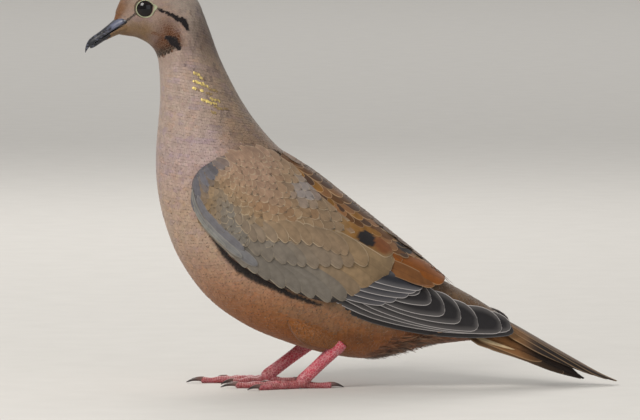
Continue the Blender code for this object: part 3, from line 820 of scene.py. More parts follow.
# %% [markdown]
# ## One skin
# Under the feathers is one closed skin: the body tube drawn in by the depth of the coat,
# with the drumsticks, the bare shanks and toes and the arms of the wings grown onto it.
# Each is a closed loft, and a Boolean union makes them one. Only the shanks and
# toes show, so they carry the modelling: overlapping shields down the front, swollen
# joints and flat soles.

# %% Names of the legs, as in the solids
ANKLE = {"left": (-5.2, -14.2, 15.9), "right": (-14.4, 12.6, 16.1)}
FOOT = {"left": (-19.1, -13.2, 2.5), "right": (-32.4, 12.2, 2.5)}
HIP = {"left": (-25.0, -18.6, 30.6), "right": (-33.0, 18.6, 30.6)}
THIGH = (2.4, 4.6, 6.3, 6.4, 4.9, 3.2)   # half depths, evenly spaced from hip to ankle
THIGH_SAG = np.array([0, 0, -5.6])
SHANK = (   # share of the way from ankle to foot, half depth, half width
    (-0.11, 2.2, 1.8), (0, 2.65, 2.1), (0.16, 2.5, 1.8), (0.45, 2.3, 1.7), (0.78, 2.3, 1.7),
    (0.95, 2.4, 2.0), (1.04, 1.9, 1.9),
)
TOES = {   # heading in degrees, length, radius, joints, length of the claw
    "middle": (3, 24.5, 1.55, 3, 5.6), "inner": (34, 15.5, 1.45, 2, 4.8),
    "outer": (-29, 18.0, 1.45, 3, 4.8), "hind": (172, 11.5, 1.45, 1, 4.6),
}
TOE_START, SOLE = 1.2, 0.18
SHANK_SCALE, TOE_SCALE = 1.25, 0.95      # from one scale to the next
LEG_RED, TOE_RED, SCALE_EDGE = srgb(188, 46, 70), srgb(142, 56, 58), srgb(222, 176, 174)


def limb(path, deep, wide, turn):
    """Ellipses square to a path: deep in the path's upright plane, wide across it. A quarter turn is up."""
    along = unit(np.gradient(path, axis=0))
    across = unit(np.cross(along, (0.0, 0.0, 1.0)))
    up = np.cross(across, along)
    return (path[:, None] + across[:, None] * (wide * np.cos(turn))[..., None]
            + up[:, None] * (deep * np.sin(turn))[..., None])


def thigh_surface(name):
    """The drumstick out to its feather tips, by the share of its length, turn and lift."""
    hip, ankle = np.array(HIP[name]), np.array(ANKLE[name]) + (-0.6, 0, 1.6)
    radii = np.array(THIGH)[:, None]

    def surface(s, turn, lift=0.0):
        path = hip + (ankle - hip) * s[..., None] + THIGH_SAG * (s * (1 - s))[..., None]
        deep = along_rows(radii, s * (len(radii) - 1))[..., 0]
        ahead = unit((ankle - hip) + THIGH_SAG * (1 - 2 * s)[..., None])
        across = unit(np.cross(ahead, (0.0, 0.0, 1.0)))
        up = np.cross(across, ahead)
        return (path + across * ((deep * 0.62 + lift) * np.cos(turn))[..., None]
                + up * ((deep + lift) * np.sin(turn))[..., None])
    return surface


def shields(distance, pitch, height):
    """Overlapping scales along a limb: each rises slowly and drops sharply at its lower edge."""
    share = np.mod(distance / pitch, 1.0)
    return height * (share ** 1.5 - step(share, 0.88, 1.0))


def shank_rings(name, rings=150, around=40):
    """The bare shank, with shields down its front and small scales behind, and its colours."""
    ankle, foot = np.array(ANKLE[name]), np.array(FOOT[name])
    shares, *radii = np.array(SHANK).T
    s = np.linspace(shares[0], shares[-1], rings)
    at = np.interp(s, shares, np.arange(len(shares)))
    deep, wide = (along_rows(r[:, None], at) for r in radii)
    turn = turns(around)[None]
    front = step(-np.sin(turn), -0.2, 0.5)
    distance = s * np.linalg.norm(foot - ankle)
    scales = shields(distance, SHANK_SCALE, 0.16)[:, None] * front
    scales = scales + 0.07 * (1 - front) * np.sin(distance * 7.5)[:, None] * np.sin(turn * 9)
    edge = step(np.mod(distance / SHANK_SCALE, 1.0), 0.62, 0.95)[:, None]
    pale = edge * front * step(np.sin(turn * 3), -0.9, -0.4)
    made = limb(ankle + (foot - ankle) * s[:, None], deep + scales, wide + scales, turn)
    return made, blend(LEG_RED, SCALE_EDGE, 0.40 * pale)


def heading_of(name, degrees):
    """The direction of a toe on the floor, turned inward from straight ahead."""
    angle = math.radians(degrees)
    return np.array([-math.cos(angle), -SIDES[name] * math.sin(angle), 0])


def toe_rings(name, heading, length, radius, joints, rings=110, around=32):
    """One toe lying on the floor, with shields on top and a swollen pad at each joint, and its colours."""
    s = np.linspace(0, 1, rings)
    pads = 1 + 0.09 * np.cos(2 * math.pi * s * joints)
    thick = radius * (1 - 0.24 * s) * pads
    end = np.sqrt(np.maximum(1 - np.clip((s - 0.96) / 0.04, 0, 1) ** 2, 0.3))
    path = np.array(FOOT[name]) + heading_of(name, heading) * (TOE_START + (length - TOE_START) * s)[:, None]
    path[:, 2] = thick - SOLE
    turn = turns(around)[None]
    top = step(np.sin(turn), -0.1, 0.5)
    scales = shields(length * s, TOE_SCALE, 0.12)[:, None] * top
    rib = 0.05 * (1 - top) * np.sin(length * s * 6)[:, None]
    size = (thick * end)[:, None] - 0.06 + scales + rib
    made = limb(path, size, size, turn)
    made[..., 2] = np.maximum(made[..., 2], 0.0)
    pale = step(np.mod(length * s / TOE_SCALE, 1.0), 0.60, 0.95)[:, None] * top
    return made, blend(TOE_RED, SCALE_EDGE, 0.50 * pale)


def closed_loft(rings):
    """Points and triangles of a tube through rings of points, closed by a middle point at each end."""
    count, around = rings.shape[:2]
    k = np.arange(around)
    beside, last_ring, middle = (k + 1) % around, (count - 1) * around, count * around
    start = np.stack([0 * k + middle, beside, k], 1)
    end = np.stack([0 * k + middle + 1, k + last_ring, beside + last_ring], 1)
    points = np.concatenate([rings.reshape(-1, 3), [rings[0].mean(0)], [rings[-1].mean(0)]])
    triangles = np.concatenate([band(count, around), start, end])
    corners = points[triangles] - points.mean(0)
    if np.einsum("ij,ij->i", corners[:, 0], np.cross(corners[:, 1], corners[:, 2])).sum() < 0:
        triangles = triangles[:, ::-1]
    return points, triangles


print("left shank is", round(float(np.linalg.norm(np.subtract(ANKLE["left"], FOOT["left"]))), 1), "mm long")

# %% The finish of the skin: bare scaly legs, and the coat's colours above them
skin_matt, tree = new_material("skin and scaly legs", Roughness=0.36, Specular_IOR_Level=0.6,
                               Subsurface_Weight=0.12, Subsurface_Scale=0.002)
own, bareness = stored(tree, "tint", "Color"), stored(tree, "tint", "Alpha")
places = add(tree, "TexCoord", {})["Object"]
net = add(tree, "TexVoronoi", {"Vector": places, "Scale": 950.0}, feature="DISTANCE_TO_EDGE")["Distance"]
dark = mix(tree, ramp(tree, cloudy(tree, 260.0, 4.0), 0.35, 0.7), own, (0.42, 0.07, 0.10))
seam = maths(tree, "MULTIPLY", ramp(tree, net, 0.13, 0.03, 0.0, 0.50), bareness)
base = mix(tree, seam, mix(tree, bareness, own, dark), srgb(226, 176, 176))
wear(tree, base, ramp(tree, net, 0.0, 0.12), 0.6, 0.0002)
print("skin finish:", skin_matt.name)


# %% What is grown onto the skin
def foot_ball(name):
    """The ball of the foot, where the shank and the toes meet: a low ellipsoid."""
    polar, turn = grid(np.linspace(0.05, math.pi - 0.05, 24), turns(36))
    across = np.sin(polar)
    ball = np.stack([across * np.cos(turn) * 2.7, across * np.sin(turn) * 2.3, np.cos(polar) * 2.0], -1)
    return closed_loft(ball + (FOOT[name][0] + 0.6, FOOT[name][1], 2.05))


def wing_arm(side):
    """The arm of a folded wing, a millimetre under its coverts, and its colours. Its lower edge is painted
    dark, as shade in the fold under the wing.
    """
    surface = wing_surface("coverts", side)
    t, v = grid(np.linspace(0.05, 9.8, 60), np.linspace(-0.97, 0.95, 30))
    thick = edges_of_wing(WING["coverts"], side, t)[3] * (1 - 0.5 * v ** 2) - 0.9
    outer, inner = surface(t, v, np.full(t.shape, -1.0)), surface(t, v, -1.0 - np.maximum(thick, 0.5))
    points, triangles = closed_loft(np.concatenate([outer, inner[:, ::-1]], 1))
    across = np.append(np.concatenate([v, v[:, ::-1]], 1), [1.0, 1.0])
    return points, triangles, blend(wing_tint(points) * 0.8, TONES["fold_shade"], step(across, 0.80, 0.88))


def grown_forms(name, side):
    """The closed forms of one side: points, triangles, colours, and how bare and scaly each is."""
    s, turn = grid(np.linspace(0, 1, 40), turns(40))
    thigh = closed_loft(thigh_surface(name)(s, turn, -0.9))
    yield *thigh, np.tile(TONES["belly"], (len(thigh[0]), 1)), 0.0
    toes = [toe_rings(name, *toe[:4]) for toe in TOES.values()]
    for k, (rings, tints) in enumerate([shank_rings(name)] + toes):
        tints = np.concatenate([tints.reshape(-1, 3), tints[[0, -1], 0]])
        yield *closed_loft(rings), tints, 0.5 if k else 1.0
    ball = foot_ball(name)
    yield *ball, np.tile(TOE_RED, (len(ball[0]), 1)), 0.6
    yield *wing_arm(side), 0.0


def skin_depth(t):
    """How far the skin lies under the feather tips, in mm, from the bill to the tail."""
    return np.interp(t, (0, 2, 6, 10, 14, 20, 23), (0.45, 0.5, 0.6, 0.9, 1.3, 1.6, 1.3))


# %% Join the skin
t, turn = grid(np.linspace(0, BODY_END, 170), turns(96))
points, triangles = closed_loft(body_surface(t, turn, -skin_depth(t)))
# The skin carries the painted shade of the fold under the wing's edge too.
coat = blend(body_tint(t.ravel(), turn.ravel(), points[:-2]), TONES["fold_shade"], fold_shade(points[:-2]))
colours = np.insert(np.vstack([coat, [TONES["belly"]] * 2]), 3, 0, 1)
skin = write_mesh("skin", points, triangles, skin_matt, tint=colours)
limbs = [write_mesh("limb", points, triangles, skin_matt, tint=np.insert(colour, 3, bareness, 1))
         for name, side in SIDES.items() for points, triangles, colour, bareness in grown_forms(name, side)]
for grown in limbs:
    join = skin.modifiers.new("join", "BOOLEAN")
    join.operation, join.solver, join.object = "UNION", "MANIFOLD", grown
joined = bpy.data.meshes.new_from_object(skin.evaluated_get(bpy.context.evaluated_depsgraph_get()))
skin.modifiers.clear()
skin.data = joined
for grown in limbs:
    bpy.data.objects.remove(grown)
print("the joined skin has", len(joined.polygons), "faces")


# %% Colours of the joined skin
def read(data, field, wide):
    """A mesh's own values as an array."""
    values = np.empty(len(data) * wide, np.float32)
    data.foreach_get(field, values)
    return values.reshape(-1, wide)


# Only the shanks and feet are bare. Where a cut blended their scales into the coat, it is belly again.
points = read(joined.vertices, "co", 3) / MM
colours = read(joined.color_attributes["tint"].data, "color", 4)
bare_leg = points[:, 2] < 5.5
for name in SIDES:
    ankle, foot = np.array(ANKLE[name]), np.array(FOOT[name])
    s = np.clip((points - ankle) @ (foot - ankle) / ((foot - ankle) @ (foot - ankle)), -0.05, 1)
    bare_leg |= np.linalg.norm(points - ankle - s[:, None] * (foot - ankle), axis=1) < 3.2
mixed = ~bare_leg & ((colours[:, 3] > 0.001) | (colours[:, :3].sum(1) < 0.02))
colours[mixed, :3] = TONES["belly"] * 0.7
colours[~bare_leg, 3] = 0.0
for name in SIDES:
    near = np.linalg.norm(points - np.add(FOOT[name], (0.4, 0, -0.5)), axis=1)
    colours[:, :3] = blend(colours[:, :3], TOE_RED, 0.85 * step(near, 4.6, 3.2))
joined.color_attributes["tint"].data.foreach_set("color", colours.ravel())
flesh = ["head", "neck", "trunk", "tail_coverts"]
flesh += [f"{part}_{name}" for name in SIDES for part in ("thigh", "shank")]
flesh += [f"toe_{name}_{toe}" for name in SIDES for toe in TOES]
settle(skin, "leg_skin", *flesh)

# %% [markdown]
# ## The coat of the body
# Body feathers are smallest at the bill and grow steadily down the neck to the breast and
# belly. They all lie from the bill to the tail. The roots are scattered so that each
# feather overlaps the next ones by more than half, and every feather takes its colour from
# the marking under its showing part, with a little of its own. The bill's root and the eye's
# bare ring are left clear. The coat is one even cover, cut into pieces only by region.

# %% Feather sizes on the body, and what stays bare
EYE = np.array([-77.2, 5.5, 141.8])
EYE_RADIUS, EYE_TURN = 4.6, math.radians(1)


def feather_length(t):
    """Millimetres, by row of the body."""
    return np.interp(t, (0, 1, 3, 6, 9, 12, 15, 19, 23), (0.75, 0.95, 1.25, 1.5, 1.9, 2.6, 3.4, 4.4, 5.2))


def feather_width(t):
    """Millimetres: slender on the head and nearly round on the breast."""
    return feather_length(t) * np.interp(t, (0, 6, 10, 13), (0.58, 0.62, 0.85, 0.95))


def body_share(t, _turn):
    """The area of skin that one feather has to itself, a share of its own outline."""
    return np.interp(t, (0, 7, 11), (0.27, 0.25, 0.155)) * feather_length(t) * feather_width(t)


def bare(points, margin=0.0):
    """True on the ring of the eye and where the bill leaves the head."""
    x, y, z = np.moveaxis(points, -1, 0)
    ring = np.hypot(x - EYE[0], z - EYE[2]) < 3.36 + margin
    corner = np.hypot((x + 73.5) * 0.6, z - 142.4) < 0.55 + margin
    bill = (x < -84.4) & (z < 138.6 - 0.30 * (x + 84.4)) & (z > 136.0 + 0.60 * (x + 84.4))
    return ((ring | corner) & (np.abs(y) > 4.5)) | bill


# What the folded wing hides: highest and lowest places, x and z.
HIDDEN_TOP = ((-50, 80), (-41, 86), (-31, 83), (-20, 77), (-11, 69), (-2, 61), (7, 53), (13, 48), (20, 43),
              (34, 35), (48, 28))
HIDDEN_LOW = ((-50, 57), (-43, 51), (-33, 44), (-23, 40), (-14, 37), (-6, 33), (1, 29), (11, 26), (23, 23),
              (34, 21.5), (45, 20.7))


def under_wing(t, turn):
    """True where a folded wing hides the body well inside its edges."""
    x, z = np.moveaxis(body_surface(t, turn)[..., [0, 2]], -1, 0)
    top, low = (np.interp(x, *np.transpose(edge)) for edge in (HIDDEN_TOP, HIDDEN_LOW))
    return (x > -50) & (x < 48) & (z > low) & (z < top) & (np.abs(np.sin(turn)) > 0.60)


t, turn = scatter(body_surface, (0.12, 22.9), (0, 2 * math.pi), body_share, 320, 240)
length, width = feather_length(t), feather_width(t)
du = tangents(body_surface, t, turn)[0]
root = body_surface(t, turn)
tip = root + unit(du) * length[:, None]
keep = ~(bare(root) | bare(tip, 0.1) | bare((root + tip) / 2, 0.05) | under_wing(t, turn))
t, turn, length, width, du = (values[keep] for values in (t, turn, length, width, du))
print("feathers on the body:", len(t))


# %% Join vanes into pieces
def patch_of(u, v, vane):
    """Small feathers on the map, u and v from 0 to 1: a patch at the root's place, shaped like the vane."""
    size, margin = 0.003, 0.02
    own = vane[..., :2] / np.maximum(np.abs(vane[..., :2]).max((1, 2), keepdims=True), 1e-6)
    place = margin + (1 - 2 * margin) * np.stack([u, v], -1)[:, None]
    return np.clip(place + own * size / 2, 0, 1).reshape(-1, 2)


def body_patch(t, turn, vane):
    """The same, for feathers at row t and turn of the body."""
    return patch_of(t / BODY_END, turn / (2 * math.pi), vane)


def cells(count, vane):
    """Long feathers on the map: a square cell each, filled by its across and along."""
    side, margin = math.ceil(math.sqrt(count)), 0.06
    low, high = vane[..., :2].min(1, keepdims=True), vane[..., :2].max(1, keepdims=True)
    own = (vane[..., :2] - low) / (high - low)
    k = np.arange(count)
    corner = np.stack([k % side, k // side], 1)[:, None]
    return ((corner + margin + (1 - 2 * margin) * own) / side).reshape(-1, 2)


def varied(tint, random, amount):
    """Each feather's tint made a little lighter or darker at random."""
    return tint * (1 + amount * random.normal(size=(len(tint), 1)))


def shaded(tint, shade):
    """Each feather's tint made lighter or darker from point to point of its vane."""
    return tint[:, None] * shade[:, None]


def coat_piece(name, template, points, vane, tint, strength, matt, slot, place=None, nodes=()):
    """Joins laid vanes into one mesh.

    tint is a colour for each vane or each point, and strength how much fringe a vane shows.
    place is the vanes' place on the map. Long feathers have none and get a cell each.
    """
    count, size = points.shape[:2]
    tint = np.broadcast_to(tint if tint.ndim == 3 else tint[:, None], (count, size, 3))
    strength = np.broadcast_to(np.reshape(strength, (-1, 1)), (count, size))
    colours = np.concatenate([np.clip(tint, 0, 1), strength[..., None]], -1).reshape(-1, 4)
    place = cells(count, vane) if place is None else place
    piece = write_mesh(name, points.reshape(-1, 3), many(template, count), matt,
                       {"vane": vane.reshape(-1, 3)}, colours, place, np.tile(template["face"] == 0, count))
    settle(piece, slot, *nodes)


# %% Put the coat of the body on
def dress(name, where, template, seed, slot):
    """The feathers of the body picked by where, as one coat."""
    random = np.random.default_rng(seed)
    here, around, long, wide, way = (values[where] for values in (t, turn, length, width, du))
    rise = np.interp(here, (0, 7, 11), (0.15, 0.13, 0.075)) * long
    low = -rise - 0.06 + 0.02 * random.random(len(here))
    sway = random.normal(0, 0.06, len(here))[:, None]
    flow = unit(way) + sway * unit(np.cross(way, (0.3, 1.0, 0.2)))
    points, vane, shown = lay(template, body_surface, here, around, flow, long, wide, low, rise, seed,
                              0.45, 0.03, 0.10, 0.03)
    tint = varied(body_tint(here, around, shown), random, 0.035)
    tint = tint * (1 + 0.012 * random.normal(size=(len(tint), 3)))
    # Painted shade of the fold under the wing's edge, point by point.
    tint = blend(tint[:, None], TONES["fold_shade"], fold_shade(points))
    if here.min() < 9:
        tint = blend(tint, TONES["mark"], ear_marks(points))
    fringe = (0.05 + 0.15 * random.random(len(tint))) * (1 - np.maximum(fold_shade(shown), ear_marks(shown)))
    coat_piece(name, template, points, vane, tint, fringe, SOFT, slot, body_patch(here, around, vane))


back = np.cos(turn) > 0.30
dress("coat_face", t < 5.2, DOWN, 11, "crown_feathers")
dress("coat_nape", (t >= 5.2) & (t < 9.4), DOWN, 12, "crown_feathers")
dress("coat_neck", (t >= 9.4) & (t < 13.0), DOWN, 13, "neck_feathers")
dress("coat_breast", (t >= 13.0) & (t < 17.5) & ~back, CONTOUR, 14, "body_feathers")
dress("coat_belly", (t >= 17.5) & ~back, CONTOUR, 15, "body_feathers")
dress("coat_back", (t >= 13.0) & back, CONTOUR, 16, "body_feathers")

# %% [markdown]
# ## Thighs, vent and chin
# The drumstick wears the same coat, drawn down to the ankle. Behind it, between the legs and
# the tail, long loose plumes hang from the belly, with free barbs like hair. Tiny feathers
# run forward under the bill and cover the root of its lower half.

# %% Coat of the thighs, the vent and the chin


def thigh_coat(name):
    """Small feathers down the drumstick, shorter towards the ankle."""
    surface = thigh_surface(name)
    s, turn = scatter(surface, (0.10, 1.0), (0, 2 * math.pi), lambda s, turn: 1.15 - 0.75 * s, 60, 60)
    random = np.random.default_rng(61)
    du = tangents(surface, s, turn)[0]
    size = 3.6 - 2.0 * s
    flow = unit(du) + random.normal(0, 0.10, du.shape)
    points, vane, _shown = lay(DOWN, surface, s, turn, flow, size, size * 0.55, -0.60 + 0.2 * s, 0.30, 62,
                               0.45, 0.04, 0.3, 0.03)
    # The belly's tone made darker, as painted shade on the drumstick.
    tint = varied(np.tile(TONES["belly"] * 0.74, (len(s), 1)), random, 0.06)
    coat_piece(f"coat_thigh_{name}", DOWN, points, vane, tint, 0.15, SOFT, "body_feathers",
               patch_of(s, turn / (2 * math.pi), vane))


def vent_plumes():
    """Loose plumes behind the legs. They stand out in tufts, where slow waves of the place are high."""
    random = np.random.default_rng(63)
    t, turn = scatter(body_surface, (20.7, 22.6), (0.60 * math.pi, 1.40 * math.pi),
                      lambda t, turn: 0.75 + 0 * t, 60, 60)
    du = tangents(body_surface, t, turn)[0]
    tuft = step(waves(body_surface(t, turn), 3.2, 64), -0.8, 0.5) * np.exp(-((t - 21.45) / 0.55) ** 2)
    long = 3.6 + 3.4 * tuft + random.normal(0, 0.5, len(t))
    flow = unit(du) + random.normal(0, 0.25, du.shape)
    rise = 0.15 + 5.6 * tuft * (0.4 + 0.6 * random.random(len(t)))
    wide = 0.6 + 0.3 * random.random(len(t))
    points, vane, shown = lay(DOWN, body_surface, t, turn, flow, long, wide, -0.25, rise, 64,
                              0.3, 0.05, 0.5, 0.035)
    tint = blend(TONES["vent"], TONES["flank"] * 1.4, random.random(len(t)) ** 1.5 * step(rise, 0.6, 2.6))
    clump = step(waves(shown * (1, 1, 0.6), 2.6, 65), -0.8, 0.9)
    tint = varied(tint * (0.55 + 0.75 * clump)[:, None], random, 0.10)
    coat_piece("coat_vent", DOWN, points, vane, tint, 0.1, SOFT, "body_feathers", body_patch(t, turn, vane))


def chin_coat():
    """Tiny feathers that run forward over the root of the bill's lower half."""
    def surface(t, turn, lift=0.0):
        return tube(BILL_LOWER, t, turn, lift, BILL_LEVEL)

    t, turn = scatter(surface, (0.0, 2.75), (0.42 * math.pi, 1.58 * math.pi),
                      lambda t, turn: 0.085 + 0 * t, 60, 60)
    keep = t < 2.1 + 0.75 * step(np.abs(turn - math.pi), 0.9, 0.2)
    t, turn = t[keep], turn[keep]
    du = tangents(surface, t, turn)[0]
    random = np.random.default_rng(65)
    flow = -unit(du) + random.normal(0, 0.10, du.shape)
    points, vane, _shown = lay(DOWN, surface, t, turn, flow, 0.80, 0.46, 0.0, 0.12, 66, 0.45, 0.04, 0.2, 0.03)
    tint = varied(np.tile(TONES["chin"], (len(t), 1)), random, 0.04)
    coat_piece("coat_chin", DOWN, points, vane, tint, 0.1, SOFT, "crown_feathers",
               patch_of(t / 3, turn / (2 * math.pi), vane))


for name in SIDES:
    thigh_coat(name)
vent_plumes()

# %% [markdown]
# ## The gold of the neck
# Each side of the neck carries a small patch where the tips of a few feathers shine like
# brass. A few broad, short vanes lie on top of the coat there, in slanting patches, with a
# metallic yellow finish of their own.

# %% Gold flecks
# The brass is partly the tips' own iridescent gold and partly painted glint, brightest where they catch the
# light.
GOLD = (   # x and z in the side view, width, brightness
    (-58.2, 117.9, 2.4, 0.7), (-56.3, 116.3, 1.4, 0.6), (-57.5, 114.6, 4.2, 0.9), (-55.4, 113.6, 2.8, 1.0),
    (-57.9, 112.2, 4.0, 0.9), (-52.0, 111.8, 3.2, 0.25), (-53.6, 110.4, 2.2, 0.15), (-54.9, 108.0, 2.8, 1.0),
    (-51.3, 108.2, 3.6, 0.6), (-52.2, 106.9, 2.8, 0.8), (-49.9, 105.3, 3.4, 0.25), (-47.4, 104.9, 1.6, 0.1),
    (-52.0, 103.6, 1.8, 0.2),
)
BRONZE, BRASS = srgb(126, 102, 78), srgb(226, 202, 118)
gold_matt, tree = new_material("gold of the neck", Metallic=0.35, Roughness=0.42, Specular_IOR_Level=0.6)
wear(tree, stored(tree, "tint", "Color"))


def gold_flecks(name, side):
    """Short broad vanes, two to a millimetre along each patch, some bright and some dull."""
    random = np.random.default_rng(71)
    x, z, patch, shine = np.array(GOLD).T
    count = np.ceil(patch / 0.50).astype(int)
    order = np.repeat(np.arange(len(x)), count)
    along = np.concatenate([(np.arange(n) + 0.5) / n - 0.5 for n in count]) * patch[order]
    seen = np.stack([x[order] + 0.94 * along, z[order] - 0.30 * along], 1)
    seen = seen + random.normal(0, (0.10, 0.16), seen.shape) + (0, 0.2)
    t, turn = locate(body_surface, seen, (9.0, side * math.pi / 2))
    turn = np.where(turn < 0, turn + 2 * math.pi, turn)
    flow = np.tile([0.30, 0.0, -0.95], (len(t), 1)) + random.normal(0, 0.12, (len(t), 3))
    wide = 0.65 + 0.35 * random.random(len(t))
    long = 0.85 + 0.35 * random.random(len(t))
    points, vane, _shown = lay(CONTOUR, body_surface, t, turn, flow, long, wide, 0.0, 0.12, 72,
                               0.3, 0.05, 0.5, 0.04)
    # How bright each fleck is: partly its own gold and partly painted glint.
    bright = np.clip(shine[order] * (1 - 1.1 * random.random(len(t)) ** 1.6), 0, 1)
    coat_piece(f"gold_{name}", CONTOUR, points, vane, blend(BRONZE, BRASS, bright), 0.0, gold_matt,
               "neck_feathers", body_patch(t, turn, vane))


for name, side in SIDES.items():
    gold_flecks(name, side)

# %% [markdown]
# ## Long feathers, drawn from the side
# The big feathers of a folded wing overlap like a hand of cards: the innermost lies on top
# and each next one shows only its lower edge and its tip. They are easiest to plan in the
# side view, as a curved centre line with a tip. Newton's method then finds the
# place on the bowed wing that has that side view, so the feathers keep the wing's true form
# from every other side too. Each feather is stacked a little higher than the one under it.

# %% Vanes planned in two coordinates
COVER_VANE = vane_template(7, 14)


def plan_view(template, root, bend, tip, width, front, round_front, round_back):
    """Planned places of vanes, all arguments one row for each vane.

    The centre line is a quadratic Bezier curve from root past bend to tip. front is the share
    of the width on its lower side. Each side ends in a quarter ellipse as long as its round
    value. Returns the places, and across and along in mm, and mm to the edge.
    """
    root, bend, tip = (np.asarray(p, float)[:, None] for p in (root, bend, tip))
    width, front, round_front, round_back = (np.broadcast_to(np.asarray(x, float), len(root))[:, None]
                                             for x in (width, front, round_front, round_back))
    y = template["along"][None, :, None]
    line = root * (1 - y) ** 2 + 2 * bend * y * (1 - y) + tip * y ** 2
    way = unit(2 * (bend - root) * (1 - y) + 2 * (tip - bend) * y)
    upward = np.stack([-way[..., 1], way[..., 0]], -1)
    reach = np.linalg.norm(tip - root, axis=-1)
    left = reach * (1 - template["along"])
    start = 0.3 + 0.7 * np.clip(template["along"] / 0.25, 0, 1)
    lower, upper = (wide * start * np.maximum(np.sqrt(1 - np.clip(1 - left / length, 0, 1) ** 2), 0.02)
                    for wide, length in ((-width * front, round_front), (width * (1 - front), round_back)))
    offset = lower + (upper - lower) * (template["across"] + 1) / 2
    rim = np.minimum(np.minimum(offset - lower, upper - offset), left + 0 * offset)
    along = np.broadcast_to(reach * template["along"], offset.shape)
    return line + upward * offset[..., None], np.stack([offset, along, rim], -1)


def plan_lift(template, low, rise, width, camber, thick=0.10):
    """Lift of planned vanes: low at the root, low + rise at the tip, and their edges droop."""
    low, rise, width = (np.broadcast_to(values, np.shape(low))[:, None] for values in (low, rise, width))
    droop = camber * width * template["across"] ** 2
    return low + rise * template["along"] - droop + thick * template["face"] * (1 - 0.6 * template["along"])


def long_feathers(rows, template, front, round_front, round_back):
    """A plan from rows of root, middle, tip and width, and the widths.

    The handle of the Bezier curve is twice the middle less the mean of the ends.
    """
    rows = np.asarray(rows)
    root, middle, tip, width = rows[:, 0:2], rows[:, 2:4], rows[:, 4:6], rows[:, 6]
    bend = 2 * middle - (root + tip) / 2
    return *plan_view(template, root, bend, tip, width, front, round_front, round_back), width


print("a long covert has", len(COVER_VANE["triangles"]), "triangles")

# %% A row of feathers from an arc of tips


def fan(arc, count, angles, lengths, curl=0.06):
    """Roots, bends and tips of a row: tips along an arc, directions and lengths changing evenly."""
    arc = np.asarray(arc, float)
    tips = along_rows(arc, np.linspace(0, len(arc) - 1, count))
    angle = np.radians(np.linspace(*angles, count))
    reach = np.linspace(*lengths, count)[:, None]
    way = np.stack([np.cos(angle), -np.sin(angle)], 1)
    roots = tips - way * reach
    bends = (roots + tips) / 2 + np.stack([way[:, 1], -way[:, 0]], 1) * -curl * reach
    return roots, bends, tips


print("a row of three:", np.round(fan(((0, 0), (1, 0)), 3, (40, 30), (10, 12))[0], 1).tolist())

# %% [markdown]
# ## Coverts
# Three rows of long coverts run across the wing, each covering the roots of the one below.
# Above them hundreds of small coverts sit in rows like roof tiles. The rows are arcs round a
# point above the bend of the wing, and every feather points away from that point. So they
# stand steeply near the bend and lie flatter towards the back, and both their size
# and the spacing of the rows grow on the way.

# %% Long coverts
GREATER_TIPS = ((-43.0, 50.0), (-38.0, 45.8), (-33.0, 42.8), (-26.2, 39.3), (-18.8, 36.2), (-11.2, 34.3),
                (-3.9, 34.0), (3.0, 35.6), (8.8, 38.8), (12.9, 42.4), (15.0, 45.0))
SECOND_TIPS = ((-39.0, 54.5), (-31.5, 49.2), (-23.3, 47.6), (-17.4, 46.6), (-10.5, 46.2), (-2.6, 46.6),
               (5.0, 46.6))
MEDIAN_TIPS = ((-41.0, 62.0), (-35.3, 56.0), (-27.0, 55.6), (-16.9, 55.2), (-8.3, 52.6), (-2.0, 50.8))
# Tips, how many, angles and lengths from front to rear, width, low, rise, brown share, fringe.
COVERT_ROWS = (
    (GREATER_TIPS, 14, (43, 27), (18, 30), 7.2, -1.20, 0.70, 0.0, 0.35),
    (SECOND_TIPS, 11, (46, 31), (14, 20), 6.8, -0.85, 0.60, 0.35, 0.32),
    (MEDIAN_TIPS, 12, (50, 33), (9, 14), 5.2, -0.60, 0.55, 0.9, 0.5),
)
EDGE_STRIPS = (   # x, z of root; of middle; of tip; width; how pale
    (-53.0, 62.0, -45.8, 55.0, -35.0, 47.0, 4.0, 0.35), (-54.5, 67.5, -49.4, 60.4, -40.0, 52.8, 3.4, 0.15),
    (-57.4, 73.0, -54.8, 66.4, -47.6, 59.2, 2.8, 0.15), (-56.6, 65.4, -50.8, 58.2, -40.6, 49.8, 2.6, 0.6),
    (-58.6, 70.0, -55.6, 62.8, -46.6, 53.8, 1.6, 0.9), (-59.4, 75.4, -58.2, 68.8, -53.4, 61.0, 1.3, 0.6),
)


